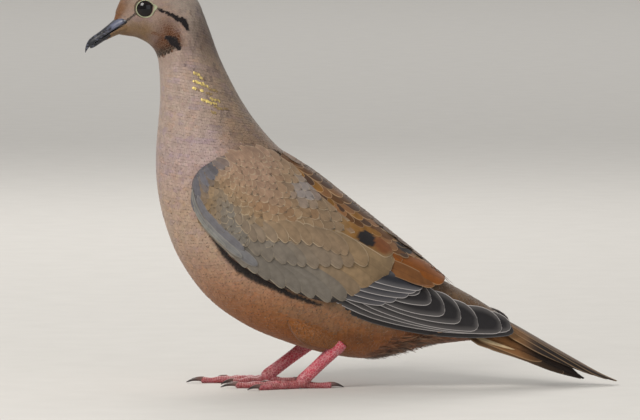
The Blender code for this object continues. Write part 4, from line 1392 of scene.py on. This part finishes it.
def long_coverts(name, side):
    """Three rows of long coverts, and narrow strips along the wing's front edge."""
    surface, template = wing_surface("coverts", side), COVER_VANE
    random = np.random.default_rng(31)
    shade = 1 - 0.20 * step(template["across"], 0.2, 1.0) * step(template["along"], 1.0, 0.6)
    parts = []
    for arc, count, angles, lengths, width, low, rise, brown, fringe in COVERT_ROWS:
        roots, bends, tips = fan(arc, count, angles, lengths)
        tips = tips + random.normal(0, 0.3, tips.shape)
        widths = width * np.linspace(0.74, 1.06, count)
        plan = plan_view(template, roots, bends, tips, widths, 0.22, widths * 0.36, widths * 1.30)
        x, z = tips.T
        tint = layered(wing_tint(np.stack([x - 3, 0 * x, z + 2], 1)), WING_TONES,
                       ("tan", brown * 0.6),
                       ("pearl", (1 - brown) * step(x, 6, -6) * 0.8),
                       ("ochre", 0.6 * step(x, -6, 12)))
        tint = shaded(varied(tint, random, 0.05), shade)
        lift = plan_lift(template, low + np.linspace(0, 0.55, count), rise, widths, 0.02)
        parts.append((*plan, lift, tint, fringe * (0.3 + 0.9 * random.random(count))))
    strips = np.array(EDGE_STRIPS)
    *plan, widths = long_feathers(strips[:, :7], template, 0.45, 4.0, 5.0)
    lift = plan_lift(template, -0.22 + 0.06 * np.arange(len(strips)), 0.12, widths, 0.06)
    pale = blend(WING_TONES["bend"] * 1.15, WING_TONES["frost"], strips[:, 7])
    parts.append((*plan, lift, shaded(pale, np.ones(len(shade))), np.full(len(strips), 0.15)))
    places, vane, lift, tint, strength = (np.concatenate(part) for part in zip(*parts))
    points = surface(*locate(surface, places, (5.0, 0.0)), lift)
    coat_piece(f"wing_{name}_long_coverts", template, points, vane, tint, strength, COVERT, "covert_feathers",
               nodes=(f"wing_{name}_coverts",))


# %% Small coverts in rows
FAN_CENTRE = np.array([-73.7, 110.0])


def tile_rows(first, last, pitch, growth, seed):
    """Staggered places on arcs round FAN_CENTRE, and the step between arcs there, growing outward."""
    random = np.random.default_rng(seed)
    places, sizes, radius, odd = [], [], first, 0
    while radius < last:
        size = pitch + growth * (radius - first)
        spacing = 1.30 * size / radius
        angle = np.radians(-88) + spacing * (np.arange(int(1.62 / spacing)) + 0.5 * odd)
        angle = angle + random.normal(0, 0.10, len(angle)) * spacing
        far = radius + random.normal(0, 0.10, len(angle)) * size
        places.append(FAN_CENTRE + far[:, None] * np.stack([np.cos(angle), np.sin(angle)], 1))
        sizes.append(np.full(len(angle), size))
        radius, odd = radius + size, 1 - odd
    return np.concatenate(places), np.concatenate(sizes)


def small_coverts(name, side):
    """Rows of small coverts above the tips of the median ones and behind the wing's front edge."""
    surface = wing_surface("coverts", side)
    seen, size = tile_rows(25.0, 92.0, 1.15, 0.040, 33)
    t, v = locate(surface, seen, (5.0, 0.0))
    miss = np.linalg.norm(surface(t, v)[:, [0, 2]] - seen, axis=1)
    tips = np.array(MEDIAN_TIPS)
    x, z = seen.T
    edge = np.interp(x, tips[:, 0], tips[:, 1]) + 2.0 * size
    edge = np.where(x < tips[0, 0], np.interp(x, (-60, -57, -52, -46, -41), (72, 66, 60.5, 58.5, 62.5)), edge)
    keep = (miss < 0.1) & (t > -0.05) & (t < 9.2) & (v > -1.10) & (v < 0.97) & (z > edge) & (x < 2.5 - size)
    t, v, size, x, z = t[keep], v[keep], size[keep], x[keep], z[keep]
    random = np.random.default_rng(34)
    away = unit(np.stack([x, z], 1) - FAN_CENTRE)
    flow = np.stack([away[:, 0], 0 * x, away[:, 1]], 1) + random.normal(0, 0.05, (len(x), 3))
    length, width = (3.5 - 0.9 * step(v, 0.3, 0.8)) * size, 2.10 * size
    rise = 0.045 * length
    points, vane, shown = lay(CONTOUR, surface, t, v, flow, length, width, -0.16 - rise, rise, 35,
                              0.62, 0.025, 0.10, 0.04)
    vane[..., 2] *= 1.5
    bend = step(x + 0.25 * np.abs(z - 76), -47, -53)
    dark = random.random(len(x)) < 0.16 * bend
    tint = varied(np.where(dark[:, None], 0.74, 1.0) * wing_tint(shown), random, 0.05)
    rusty = 0.35 * step(waves(shown, 9.0, 9), 0.5, 1.2) * step(x, -50, -40)
    tint = blend(tint, WING_TONES["rusty"], rusty)
    tint = shaded(tint, 0.90 + 0.12 * step(CONTOUR["along"], 0.45, 0.95))
    coat_piece(f"wing_{name}_small_coverts", CONTOUR, points, vane, tint, 0.50 - 0.38 * bend, COVERT,
               "covert_feathers", patch_of(t / 10, 0.5 + 0.458 * v, vane))


# %% [markdown]
# ## Flight feathers
# The hand of the folded wing shows eight primaries, dark, stiff and narrow, with the outermost
# lowest and each inner one a little shorter and laid over it. The grey secondaries close the
# gap under the coverts. Each vane is a closed plate with a shaft, fine barbs and a pale worn
# edge, following the curve that its fellow nests in.

# %% Primaries and secondaries
PRIMARIES = (   # x, z of root; of middle; of tip; width
    (-12.2, 35.0, 24.2, 22.6, 60.8, 21.4, 8.0), (-11.0, 36.6, 24.0, 24.6, 59.8, 22.9, 9.0),
    (-9.0, 38.6, 24.0, 26.0, 56.3, 22.5, 10.5), (-7.0, 41.0, 21.0, 28.0, 47.4, 23.6, 11.5),
    (-5.0, 43.4, 18.6, 30.9, 40.9, 26.4, 11.5), (-4.0, 45.6, 15.8, 33.4, 34.9, 29.2, 11.0),
    (-4.0, 47.6, 13.4, 36.6, 29.8, 33.2, 9.5), (-4.0, 49.6, 11.4, 39.4, 25.6, 37.0, 8.5),
)
SECONDARIES = (
    (-12.0, 40.0, 1.5, 35.2, 12.6, 33.4, 5.4), (-9.0, 41.6, 4.5, 36.7, 16.6, 34.4, 5.6),
    (-7.0, 43.4, 7.5, 38.2, 21.2, 36.0, 5.6), (-5.0, 45.2, 10.0, 39.9, 24.2, 37.6, 5.6),
    (-3.0, 47.0, 12.0, 41.4, 26.4, 38.4, 5.6),
)


def flight(name, side):
    """The primaries, with the grey secondaries laid over them. The lowest primary has no pale edge."""
    surface = wing_surface("primaries", side)
    random = np.random.default_rng(41)
    count = len(PRIMARIES), len(SECONDARIES)
    shape = (np.repeat(pair, count) for pair in ((0.20, 0.34), (3.2, 3.0), (12.0, 6.0)))
    places, vane, width = long_feathers(PRIMARIES + SECONDARIES, QUILL, *shape)
    lift = plan_lift(QUILL, -1.42 + 0.13 * np.arange(len(width)), 0.0, width, 0.0, 0.06)
    points = surface(*locate(surface, places, (3.0, 0.0)), lift)
    dark = varied(np.tile(WING_TONES["quill"], (count[0], 1)), random, 0.10)
    tint = np.concatenate([dark, np.tile(WING_TONES["grey quill"], (count[1], 1))])
    tint = shaded(tint, 0.92 + 0.5 * step(QUILL["along"], 0.60, 1.0) * step(QUILL["across"], 0.7, -0.7))
    strength = np.append(0.15, np.full(len(width) - 1, 0.70))
    coat_piece(f"wing_{name}_flight_feathers", QUILL, points, vane, tint, strength, FLIGHT, "flight_feathers",
               nodes=(f"wing_{name}_primaries",))


for name, side in SIDES.items():
    flight(name, side)
    long_coverts(name, side)
    small_coverts(name, side)

# %% [markdown]
# ## Tertials and scapulars
# The inner wing feathers are broad, brown and soft, and they close the wing against the back.
# Two of them carry the wing's black spots. The rows go from the lowest feather to the
# topmost, and the narrow scapulars lie along the ridge.

# %% Tertials and scapulars
SPOTTED = vane_template(13, 34)
TERTIALS = (   # x, z of root; of middle; of tip; width; tone; fringe
    (0.0, 54.0, 15.0, 45.6, 30.3, 37.2, 5.8, "sepia", 0.45),
    (4.0, 58.0, 22.0, 46.4, 34.5, 40.0, 6.0, "rufous", 0.5),
    (-6.0, 60.0, 8.0, 51.6, 22.5, 43.4, 6.0, "rufous", 0.5),
    (4.0, 60.4, 20.0, 51.0, 29.6, 45.4, 3.2, "olive", 0.7),
    (-8.0, 65.0, 6.0, 56.6, 19.0, 48.2, 6.0, "rufous", 0.4),
    (-18.0, 71.0, -4.0, 62.6, 8.5, 54.4, 5.6, "tan", 0.3),
    (-22.0, 77.0, -9.0, 67.4, 3.0, 59.6, 5.4, "rusty", 0.4),
    (-8.0, 68.5, 6.0, 59.6, 20.4, 50.4, 4.6, "scapular", 0.5),
    (-27.0, 83.0, -14.0, 73.4, -2.0, 65.0, 6.4, "rusty", 0.35),
    (-12.0, 76.0, 3.0, 66.0, 16.0, 56.0, 5.4, "scapular", 0.55),
)
SPOTS = ((5.3, 56.6, 3.7, 2.5), (19.6, 52.3, 3.6, 1.3))


def spots(points):
    """The two black spots: 1 inside an ellipse that leans with the feathers, with a ragged rim."""
    x, z = points[..., 0], points[..., 2]
    most = np.zeros(x.shape)
    for x_mid, z_mid, long, short in SPOTS:
        along, up = (x - x_mid) * 0.80 - (z - z_mid) * 0.60, (x - x_mid) * 0.60 + (z - z_mid) * 0.80
        reach = np.hypot(along / long, up / short) + 0.12 * waves(points, 2.2, 21)
        most = np.maximum(most, step(reach, 1.07, 0.97))
    return most


def kept_apart(points, side):
    """The wing's points, at least 0.3 mm away from the middle of the back."""
    points[..., 1] = side * np.maximum(side * points[..., 1], 0.3)
    return points


def tertials(name, side):
    """The tertials. Below the plate's lower edge its bow would turn in, so they are held out flat."""
    surface = wing_surface("tertials", side)
    places, vane, width = long_feathers([row[:7] for row in TERTIALS], SPOTTED, 0.45, 4.4, 6.4)
    lift = plan_lift(SPOTTED, -0.75 + 0.055 * np.arange(len(width)), 0.12, width, 0.02, 0.08)
    u, v = locate(surface, places, (4.0, 0.0))
    lift = lift + 3.0 * np.clip(v ** 2 - 1, 0, 0.6) * (v > 0)
    lift[:2] += 1.1 * step(SPOTTED["along"], 0.35, 0.7)
    points = kept_apart(surface(u, v, lift), side)
    shade = 0.90 + 0.16 * SPOTTED["along"] + 0.10 * step(SPOTTED["across"], 0.6, -0.6)
    tint = shaded(np.array([WING_TONES[row[7]] for row in TERTIALS]), shade)
    tint = blend(tint, WING_TONES["black"], spots(points))
    coat_piece(f"wing_{name}_tertials_coat", SPOTTED, points, vane, tint, [row[8] for row in TERTIALS], BROAD,
               "tertial_feathers", nodes=(f"wing_{name}_tertials",))


# The ridge of the back is the upper edge of the tertials. BACK_REACH is how far its rows lie along it.
BACK_RIDGE = np.array(WING["tertials"])[:, :2]
BACK_REACH = np.concatenate([[0], np.linalg.norm(np.diff(BACK_RIDGE, axis=0), axis=1).cumsum()])


def scapulars(name, side):
    """Narrow feathers in rows beside the ridge of the back.

    Row j has its tips 0.3 + 2.0 j mm below the ridge, and the tips follow one another every
    4.4 mm, half a step apart from row to row.
    """
    surface = wing_surface("tertials", side)
    random = np.random.default_rng(51)
    rows, tones, stack = [], [], []
    names = ("umber", "scapular", "rusty", "scapular", "umber", "buff")
    for j, last in enumerate((70.0, 63.0, 50.0, 38.0)):
        for at in np.arange(10.0 + 2.2 * (j % 2), last, 4.4):
            at = at + random.normal(0, 0.5)
            at_rows = np.interp((at - 15.0, at - 7.5, at), BACK_REACH, np.arange(len(BACK_RIDGE)))
            line = along_rows(BACK_RIDGE, at_rows)
            way = unit(line[2] - line[0])
            below = np.array([way[1], -way[0]]) * (0.3 + 2.0 * j + random.normal(0, 0.2))
            shaped = line + below * np.array([0.9, 1.0, 1.0])[:, None]
            rows.append([*shaped.ravel(), 2.9 + random.normal(0, 0.15)])
            tones.append(WING_TONES[names[random.integers(6)]] * (1 + random.normal(0, 0.06)))
            stack.append(0.10 - 0.06 * j - 0.004 * at)
    places, vane, width = long_feathers(rows, QUILL, 0.48, 3.4, 4.2)
    lift = plan_lift(QUILL, np.array(stack) - 0.22, 0.20, width, 0.015, 0.06)
    u, v = locate(surface, places, (4.0, -0.5))
    points = kept_apart(surface(u, np.clip(v, -1.05, None), lift), side)
    tint = shaded(np.array(tones), 0.88 + 0.16 * QUILL["along"] - 0.10 * step(QUILL["across"], -0.2, 0.9))
    tint = blend(tint, WING_TONES["black"], spots(points) * (points[..., 0] > 12))
    coat_piece(f"wing_{name}_scapulars", QUILL, points, vane, tint, 0.35 + 0.4 * random.random(len(rows)),
               BROAD, "tertial_feathers")


def inner_coverts(name, side):
    """The three largest coverts, which close the wing over the tertials. One carries the first spot."""
    surface = wing_surface("coverts", side)
    rows = ((-14.0, 62.4, 1.0, 55.4, 15.2, 46.6, 7.6), (-20.0, 69.0, -4.0, 62.4, 8.4, 55.6, 6.4),
            (-13.0, 67.6, 2.6, 59.6, 15.8, 51.2, 8.2))
    places, vane, width = long_feathers(rows, SPOTTED, 0.46, 3.4, 4.6)
    lift = plan_lift(SPOTTED, (-0.62, -0.72, -0.66), (0.50, 0.50, 0.84), width, 0.01, 0.08)
    points = surface(*locate(surface, places, (8.0, -0.6)), lift)
    x, z = points[..., 0], points[..., 2]
    tint = blend(WING_TONES["ochre"], WING_TONES["buff"], step(x, -8, 2) * step(z, 48, 55))
    along, up = (x - 11.6) * 0.80 - (z - 53.9) * 0.60, (x - 11.6) * 0.60 + (z - 53.9) * 0.80
    from_patch = np.hypot(along, 1.5 * up) + 0.4 * waves(points, 3.0, 22)
    tint = blend(tint, WING_TONES["chestnut"], 0.95 * step(from_patch, 5.2, 3.0))
    tint = blend(tint, WING_TONES["black"], spots(points))
    tint[:2] = blend(tint[:2], WING_TONES["ochre"], 0.6)
    coat_piece(f"wing_{name}_inner_coverts", SPOTTED, points, vane, tint, (0.7, 0.15, 0.6), COVERT,
               "covert_feathers")


for name, side in SIDES.items():
    tertials(name, side)
    scapulars(name, side)
    inner_coverts(name, side)

# %% [markdown]
# ## The mantle
# Between the folded wings the feathers of the mantle lie down the middle of the back and
# cover the inner edges of both wings. They are short vanes on a low arch over the ridge.

# %% Feathers along the ridge of the back
HALF_ARCH = 8.0


def ridge_surface(u, v, lift=0.0):
    """The middle of the back: u is a row of the wings' upper edge, v runs from -1 to 1 across."""
    x, z = np.moveaxis(along_rows(BACK_RIDGE, u), -1, 0)
    arch = 0.3 * step(u, 3, 1) - 0.35 * v ** 2
    return np.stack([x + 0.66 * (lift + arch), HALF_ARCH * v + 0 * x, z + 0.75 * (lift + arch)], -1)


def mantle():
    """Rows 2.3 mm apart down the ridge, with 3.3 mm from feather to feather across it."""
    random = np.random.default_rng(56)
    row, column = (numbers.ravel() for numbers in grid(np.arange(36), np.arange(-3, 4)))
    u = np.interp(2.3 * row + random.normal(0, 0.12, len(row)), BACK_REACH, np.arange(len(BACK_RIDGE)))
    v = (3.3 * (column + 0.5 * (row % 2)) + random.normal(0, 0.15, len(row))) / HALF_ARCH
    inside = np.abs(v) < np.interp(u, (0, 3.5, 5.0), (1.10, 0.95, 0.58))
    inside &= 2.3 * row < BACK_REACH[-1] - 6.0
    u, v, column = u[inside], v[inside], column[inside]
    du, dv, _normal = tangents(ridge_surface, u, v)
    flow = unit(du) + unit(dv) * (0.10 * v + random.normal(0, 0.03, len(u)))[:, None]
    long = 5.6 + random.normal(0, 0.15, len(u))
    points, vane, shown = lay(CONTOUR, ridge_surface, u, v, flow, long, 4.1, 0.08 + 0.06 * (column % 2), 0.34,
                              57, 0.5, 0.03, 0.05, 0.05)
    names = ("scapular", "rusty", "scapular", "umber")
    tint = np.array([WING_TONES[names[i]] for i in random.integers(4, size=len(u))])
    tint = blend(tint, TONES["mantle"] * 0.85, 0.4) * (0.94 + 0.05 * random.normal(size=(len(u), 1)))
    tint = tint * (1 - 0.22 * step(shown[:, 0], -2, 8))[:, None]
    tint = shaded(tint, 0.86 + 0.18 * CONTOUR["along"])
    coat_piece("coat_mantle", CONTOUR, points, vane, tint, 0.2 + 0.3 * random.random(len(u)), BROAD,
               "body_feathers", patch_of(u / 8, 0.5 + 0.469 * v, vane))


mantle()

# %% [markdown]
# ## Tail
# Seven pairs of feathers in a long wedge. The middle pair is longest and lies on top, and the
# outer pairs are shorter, so that the tail shows as one narrow stack from the side. They are
# planned in the top view.

# %% Tail feathers
TAIL_FEATHERS = {   # x, y of root; of middle; of tip; width; tone
    "lower": ((38.0, 5.8, 64.0, 5.6, 86.0, 0.9, 7.2, (78, 58, 40)),
              (38.0, 7.0, 60.0, 7.0, 79.6, 3.4, 5.2, (96, 70, 46)),
              (38.0, 5.6, 57.0, 6.2, 71.5, 4.3, 5.4, (132, 92, 56)),
              (46.0, 8.3, 53.5, 8.1, 61.0, 7.1, 1.1, (228, 202, 160))),
    "upper": ((50.0, 5.8, 70.0, 4.8, 92.0, 1.5, 5.2, (74, 56, 44)),
              (50.5, 3.8, 73.0, 3.1, 96.8, 0.6, 5.0, (88, 68, 54)),
              (51.0, 1.9, 75.0, 1.7, 99.6, 0.2, 4.4, (104, 84, 68))),
}


def tail_feathers(part):
    """The feathers of one stack of the tail, in pairs. Those of the upper stack have a dark band."""
    surface = tail_surface(part)
    rows, tones, lows = [], [], []
    for k, (*line, width, tone) in enumerate(TAIL_FEATHERS[part]):
        for right, side in enumerate((-1, 1)):
            rows.append((*np.multiply(line, (1, side) * 3), width))
            tones.append(srgb(*tone))
            lows.append(-0.62 + 0.20 * k + 0.09 * right)
    places, vane, width = long_feathers(rows, QUILL, 0.5, 13.0, 13.0)
    lift = plan_lift(QUILL, lows, 0.1, width, 0.0, 0.07)
    u, v = locate(surface, places, (2.0, 0.0), (0, 1))
    u, v = np.clip(u, -1.0, len(TAIL[part]) - 0.9), np.clip(v, -1.0, 1.0)
    points = surface(u, v, lift)
    x = points[..., 0]
    tint = shaded(np.array(tones), 0.92 + 0.12 * QUILL["along"])
    if part == "upper":
        tint = blend(tint, srgb(150, 108, 66), 0.8 * step(x, 70, 60) * step(np.abs(v), 0.2, 0.5))
        tint = blend(tint, srgb(34, 26, 23), step(np.abs(v), 0.42, 0.56) * step(x, 64, 72))
    else:
        tint = blend(tint, srgb(42, 33, 26), 0.85 * step(x, 60, 74))
    coat_piece(f"tail_{part}_feathers", QUILL, points, vane, tint, 0.45, BROAD, "tail_feathers",
               nodes=(f"tail_{part}",))


for part in TAIL_FEATHERS:
    tail_feathers(part)

# %% [markdown]
# ## Linings
# Under each stack of long feathers is a thin dark plate that stays inside its edges. On the
# bird it is the stack of the hidden feathers. It keeps light from shining through.

# %% Linings of the wings and tail
EVEN = 99, 98                                # beyond any row, so nothing thins out
WING_LINING = (58, 48, 42), (58, 48, 42)     # the same tone from end to end


def lining(name, surface, rows, t_span, v_span, slot, depth, fade, tones):
    """A closed plate from depth below the surface down to its thickness, the last number of its rows.

    It thins out along t between the two values of fade. The one between the two halves of the
    tail starts above its surface instead, to fill the space up to the upper half. tones are
    its colour towards the bird and towards its end.
    """
    t, v = grid(np.linspace(*t_span, 50), np.linspace(*v_span, 17))
    top = depth * step(t, *fade)
    thickness = along_rows(rows, t)[..., -1]
    outer, inner = surface(t, v, -top), surface(t, v, -np.maximum(thickness - 0.15, top + 0.2))
    points, triangles = closed_loft(np.concatenate([outer, inner[:, ::-1]], 1))
    tint = blend(srgb(*tones[0]), srgb(*tones[1]), step(points[:, 0], 58, 70))
    settle(write_mesh(name, points, triangles, SOFT, tint=np.insert(tint, 3, 0, 1)), slot)


for name, side in SIDES.items():
    for part, last, slot, depth in (("tertials", 7.4, "tertial_feathers", 1.3),
                                    ("primaries", 6.3, "flight_feathers", 1.95)):
        lining(f"wing_{name}_{part}_lining", wing_surface(part, side), WING[part], (1.2, last),
               (-0.50, 0.66), slot, depth, EVEN, WING_LINING)
for part, last, depth, fade, tones in (("upper", 4.3, 0.72, EVEN, ((104, 74, 48), (52, 40, 34))),
                                       ("lower", 4.1, -2.0, (4.1, 3.0), ((142, 98, 58), (46, 35, 30)))):
    lining(f"tail_{part}_lining", tail_surface(part), TAIL[part], (0.5, last), (-0.7, 0.7),
           "tail_feathers", depth, fade, tones)

# %% [markdown]
# ## Eyes
# Each eye is a full ball set deep in the head, with a dark brown iris that is nearly black
# and a wet surface. A bare lid of pale blue-green skin goes round it. The lid is a narrow
# wrinkled band that touches the ball, drawn out to a point behind.

# %% Eyeballs and lids


def about_eye(side, height, reach, turn, upright=1.0):
    """Points round the axis of one eye: height outward, reach from the axis, turn from straight ahead."""
    out = np.array([-math.sin(EYE_TURN), side * math.cos(EYE_TURN), 0.0])
    ahead = np.array([-math.cos(EYE_TURN), -side * math.sin(EYE_TURN), 0.0])
    points = EYE * (1, side, 1) + out * height[..., None] + ahead * (reach * np.cos(turn))[..., None]
    points[..., 2] += reach * np.sin(turn) * upright
    return points


eye_matt, tree = new_material("eye", Roughness=0.10, Specular_IOR_Level=0.18, Coat_Weight=0.30,
                              Coat_Roughness=0.02)
spokes = maths(tree, "MULTIPLY", stored(tree, "around", "Fac"), 14.0)
streaks = add(tree, "TexNoise", {"W": spokes, "Scale": 3.0}, noise_dimensions="1D")["Fac"]
from_axis = stored(tree, "from_axis", "Fac")
iris = mix(tree, ramp(tree, streaks, 0.3, 0.7), srgb(27, 18, 17), srgb(18, 13, 14))
within = mix(tree, ramp(tree, from_axis, 1.75, 1.95), srgb(8, 7, 8), iris)
wear(tree, mix(tree, ramp(tree, from_axis, 3.05, 3.20), within, srgb(84, 72, 58)))

lid_matt, tree = new_material("bare lid", Roughness=0.45, Subsurface_Weight=0.1, Subsurface_Scale=0.001)
wear(tree, mix(tree, ramp(tree, stored(tree, "across_lid", "Fac"), 0.0, 0.35), srgb(62, 60, 46),
               srgb(160, 162, 132)))


def eyeball(name, side):
    """A ball. Its points keep how far they are from its axis and where they are round it."""
    polar, turn = grid(np.linspace(0.02, math.pi - 0.02, 40), turns(48))
    ring = EYE_RADIUS * np.sin(polar)
    points, triangles = closed_loft(about_eye(side, EYE_RADIUS * np.cos(polar), ring, turn))
    values = {"from_axis": np.append(ring, [0, 0]), "around": np.append(turn, [0, 0])}
    settle(write_mesh(f"eye_{name}_ball", points, triangles, eye_matt, values), "eye", f"eye_{name}")


def eyelid(name, side):
    """A torus whose section goes round from its inner edge, over the top, to the outer edge.

    Outside its inner edge it lies on the head, so it is raised to the feather tips there. The
    two lids mirror one another, so their triangles go round in opposite ways.
    """
    turn, section = grid(turns(96), turns(14))
    corner = np.exp(-((turn - math.pi + 0.16) / 0.26) ** 2)
    under = np.exp(-((turn - 1.25 * math.pi) / 0.7) ** 2)
    wrinkle = 0.05 * np.sin(turn * 26) + 0.03 * np.sin(turn * 41 + 1)
    share = (1 - np.cos(section)) / 2
    wide = 0.21 + 0.56 * corner + 0.08 * under
    from_eye = 3.24 + 0.68 * corner + 0.06 * under + wrinkle * share - wide * np.cos(section)
    height = math.sqrt(EYE_RADIUS ** 2 - 3.1 ** 2) + 0.02 + 0.30 * np.sin(section)
    points = about_eye(side, height, from_eye, turn, 0.97)
    t_head, turn_head = locate(body_surface, points[..., [0, 2]], (4.5, side * math.pi / 2))
    head_out = np.abs(body_surface(t_head, turn_head)[..., 1]) + 0.10 * np.sin(section)
    outer, own = step(-np.cos(section), -0.6, 0.6), np.abs(points[..., 1])
    points[..., 1] = side * (own * (1 - outer) + np.maximum(own, head_out) * outer)
    triangles = band(*turn.shape, closed=True)[:, ::side]
    lid = write_mesh(f"eye_{name}_lid", points.reshape(-1, 3), triangles, lid_matt,
                     {"across_lid": share.ravel()})
    settle(lid, "eye_ring", f"eye_ring_{name}")


for name, side in SIDES.items():
    eyeball(name, side)
    eyelid(name, side)

# %% [markdown]
# ## Bill
# A dove's bill is slender. The horny tip of the upper half curves a little over the lower
# one, and a soft swollen cover, bluish grey, roofs each nostril at the base. Both
# halves are lofts through upright sections along the bill.

# %% Bill: upper line x, z; lower line x, z; half width
BILL_UPPER = (
    (-84.6, 139.2, -84.4, 136.5, 4.5), (-88.0, 138.2, -87.2, 134.7, 3.8), (-91.6, 135.3, -90.4, 132.7, 3.1),
    (-94.6, 132.9, -93.4, 130.7, 2.3), (-97.3, 131.0, -96.4, 128.6, 1.7), (-98.9, 129.4, -98.2, 127.2, 1.2),
    (-99.8, 127.2, -99.1, 126.2, 0.6), (-100.0, 125.0, -99.8, 125.1, 0.25),
)
BILL_LOWER = (
    (-84.5, 136.1, -84.0, 132.6, 4.1), (-87.4, 134.3, -86.6, 132.2, 3.4), (-90.6, 132.3, -89.8, 131.0, 2.7),
    (-93.6, 130.3, -93.2, 129.2, 2.0), (-96.6, 128.2, -96.3, 127.2, 1.4), (-98.8, 126.5, -98.6, 125.9, 0.6),
)
NOSTRIL = (-93.6, 132.5), (-92.0, 133.2), (-90.2, 134.2)
BILL_LEVEL = 0.9   # the middle of the lower half's sections is nearly at its upper line
horn_matt, tree = new_material("horn of the bill", Roughness=0.34, Specular_IOR_Level=0.45)
grain = cloudy(tree, 900.0, 4.0)
dark_grain = ramp(tree, grain, 0.35, 0.7, 0.0, 0.35)
wear(tree, mix(tree, dark_grain, stored(tree, "tint", "Color"), (0.02, 0.018, 0.02)), grain, 0.25, 0.0001)


def bill_half(node, rows, level, roofed):
    """One half of the bill. A roofed one has the swollen cover of each nostril, with its slit."""
    t, turn = grid(np.linspace(0, len(rows) - 1, 90), turns(48))
    points = tube(rows, t, turn, 0.0, level)
    tint = np.tile(srgb(31, 33, 40), (*t.shape, 1))
    if roofed:
        height = np.cos(turn)
        cover = step(t, 2.35, 1.5) * step(t, 0.1, 0.6) * step(height, 0.95, 0.55) * step(height, -0.2, 0.25)
        slit = stroke(points, NOSTRIL, (0.12, 0.30, 0.14)) * (np.abs(np.sin(turn)) > 0.4)
        outward = unit(points - tube(rows, t, turn, -1.0, level))
        points = points + outward * (0.35 * cover - 0.30 * slit)[..., None]
        tint = blend(blend(tint, srgb(96, 101, 122), cover), srgb(14, 12, 14), slit)
    # Pale bluish streaks in slow waves: painted reflections on the glossy horn.
    tint = blend(tint, srgb(104, 108, 126), 0.6 * step(waves(points * (0.5, 1, 1.5), 1.2, 30), 0.3, 1.0))
    points, triangles = closed_loft(points)
    colours = np.insert(np.vstack([tint.reshape(-1, 3), [srgb(40, 36, 38)] * 2]), 3, 1, 1)
    settle(write_mesh(f"{node}_horn", points, triangles, horn_matt, tint=colours), "bill", node)


bill_half("bill_upper", BILL_UPPER, 1 - BILL_LEVEL, True)
chin_coat()
nested = np.array(BILL_LOWER) + (0.25, 0.42, 0, 0, -0.15)
nested[-1] = (-98.2, 127.2, -97.9, 126.6, 0.5)
bill_half("bill_lower", nested, BILL_LEVEL, False)

# %% [markdown]
# ## Claws
# Each claw grows from the end of its toe, thick at the base, curving down to a sharp tip that
# rests on the floor. It is a loft of ellipses along that curve.

# %% Claws
claw_matt, tree = new_material("claw horn", Roughness=0.30, Specular_IOR_Level=0.5)
wear(tree, mix(tree, ramp(tree, stored(tree, "share", "Fac"), 0.0, 0.8), srgb(112, 82, 76), srgb(44, 34, 32)))


def claw(name, toe):
    """One claw. Its points keep their share of the way to the tip."""
    heading, length, radius, _joints, reach = TOES[toe]
    s = np.linspace(0, 1, 40)
    thick = radius * 0.66 * (1 - 0.86 * s ** 1.3)
    path = np.array(FOOT[name]) + heading_of(name, heading) * (length - 0.9 + (reach + 0.9) * s)[:, None]
    path[:, 2] = radius * 0.95 + 0.35 * np.sin(math.pi * s) - (radius * 0.95 - 0.35) * s ** 1.6
    deep = thick[:, None] * np.ones(20)
    points, triangles = closed_loft(limb(path, deep, 0.8 * deep, turns(20)[None]))
    piece = write_mesh(f"claw_{name}_{toe}_horn", points, triangles, claw_matt,
                       {"share": np.append(np.repeat(s, 20), [0, 1])})
    settle(piece, "claw", f"claw_{name}_{toe}")


for name in SIDES:
    for toe in TOES:
        claw(name, toe)
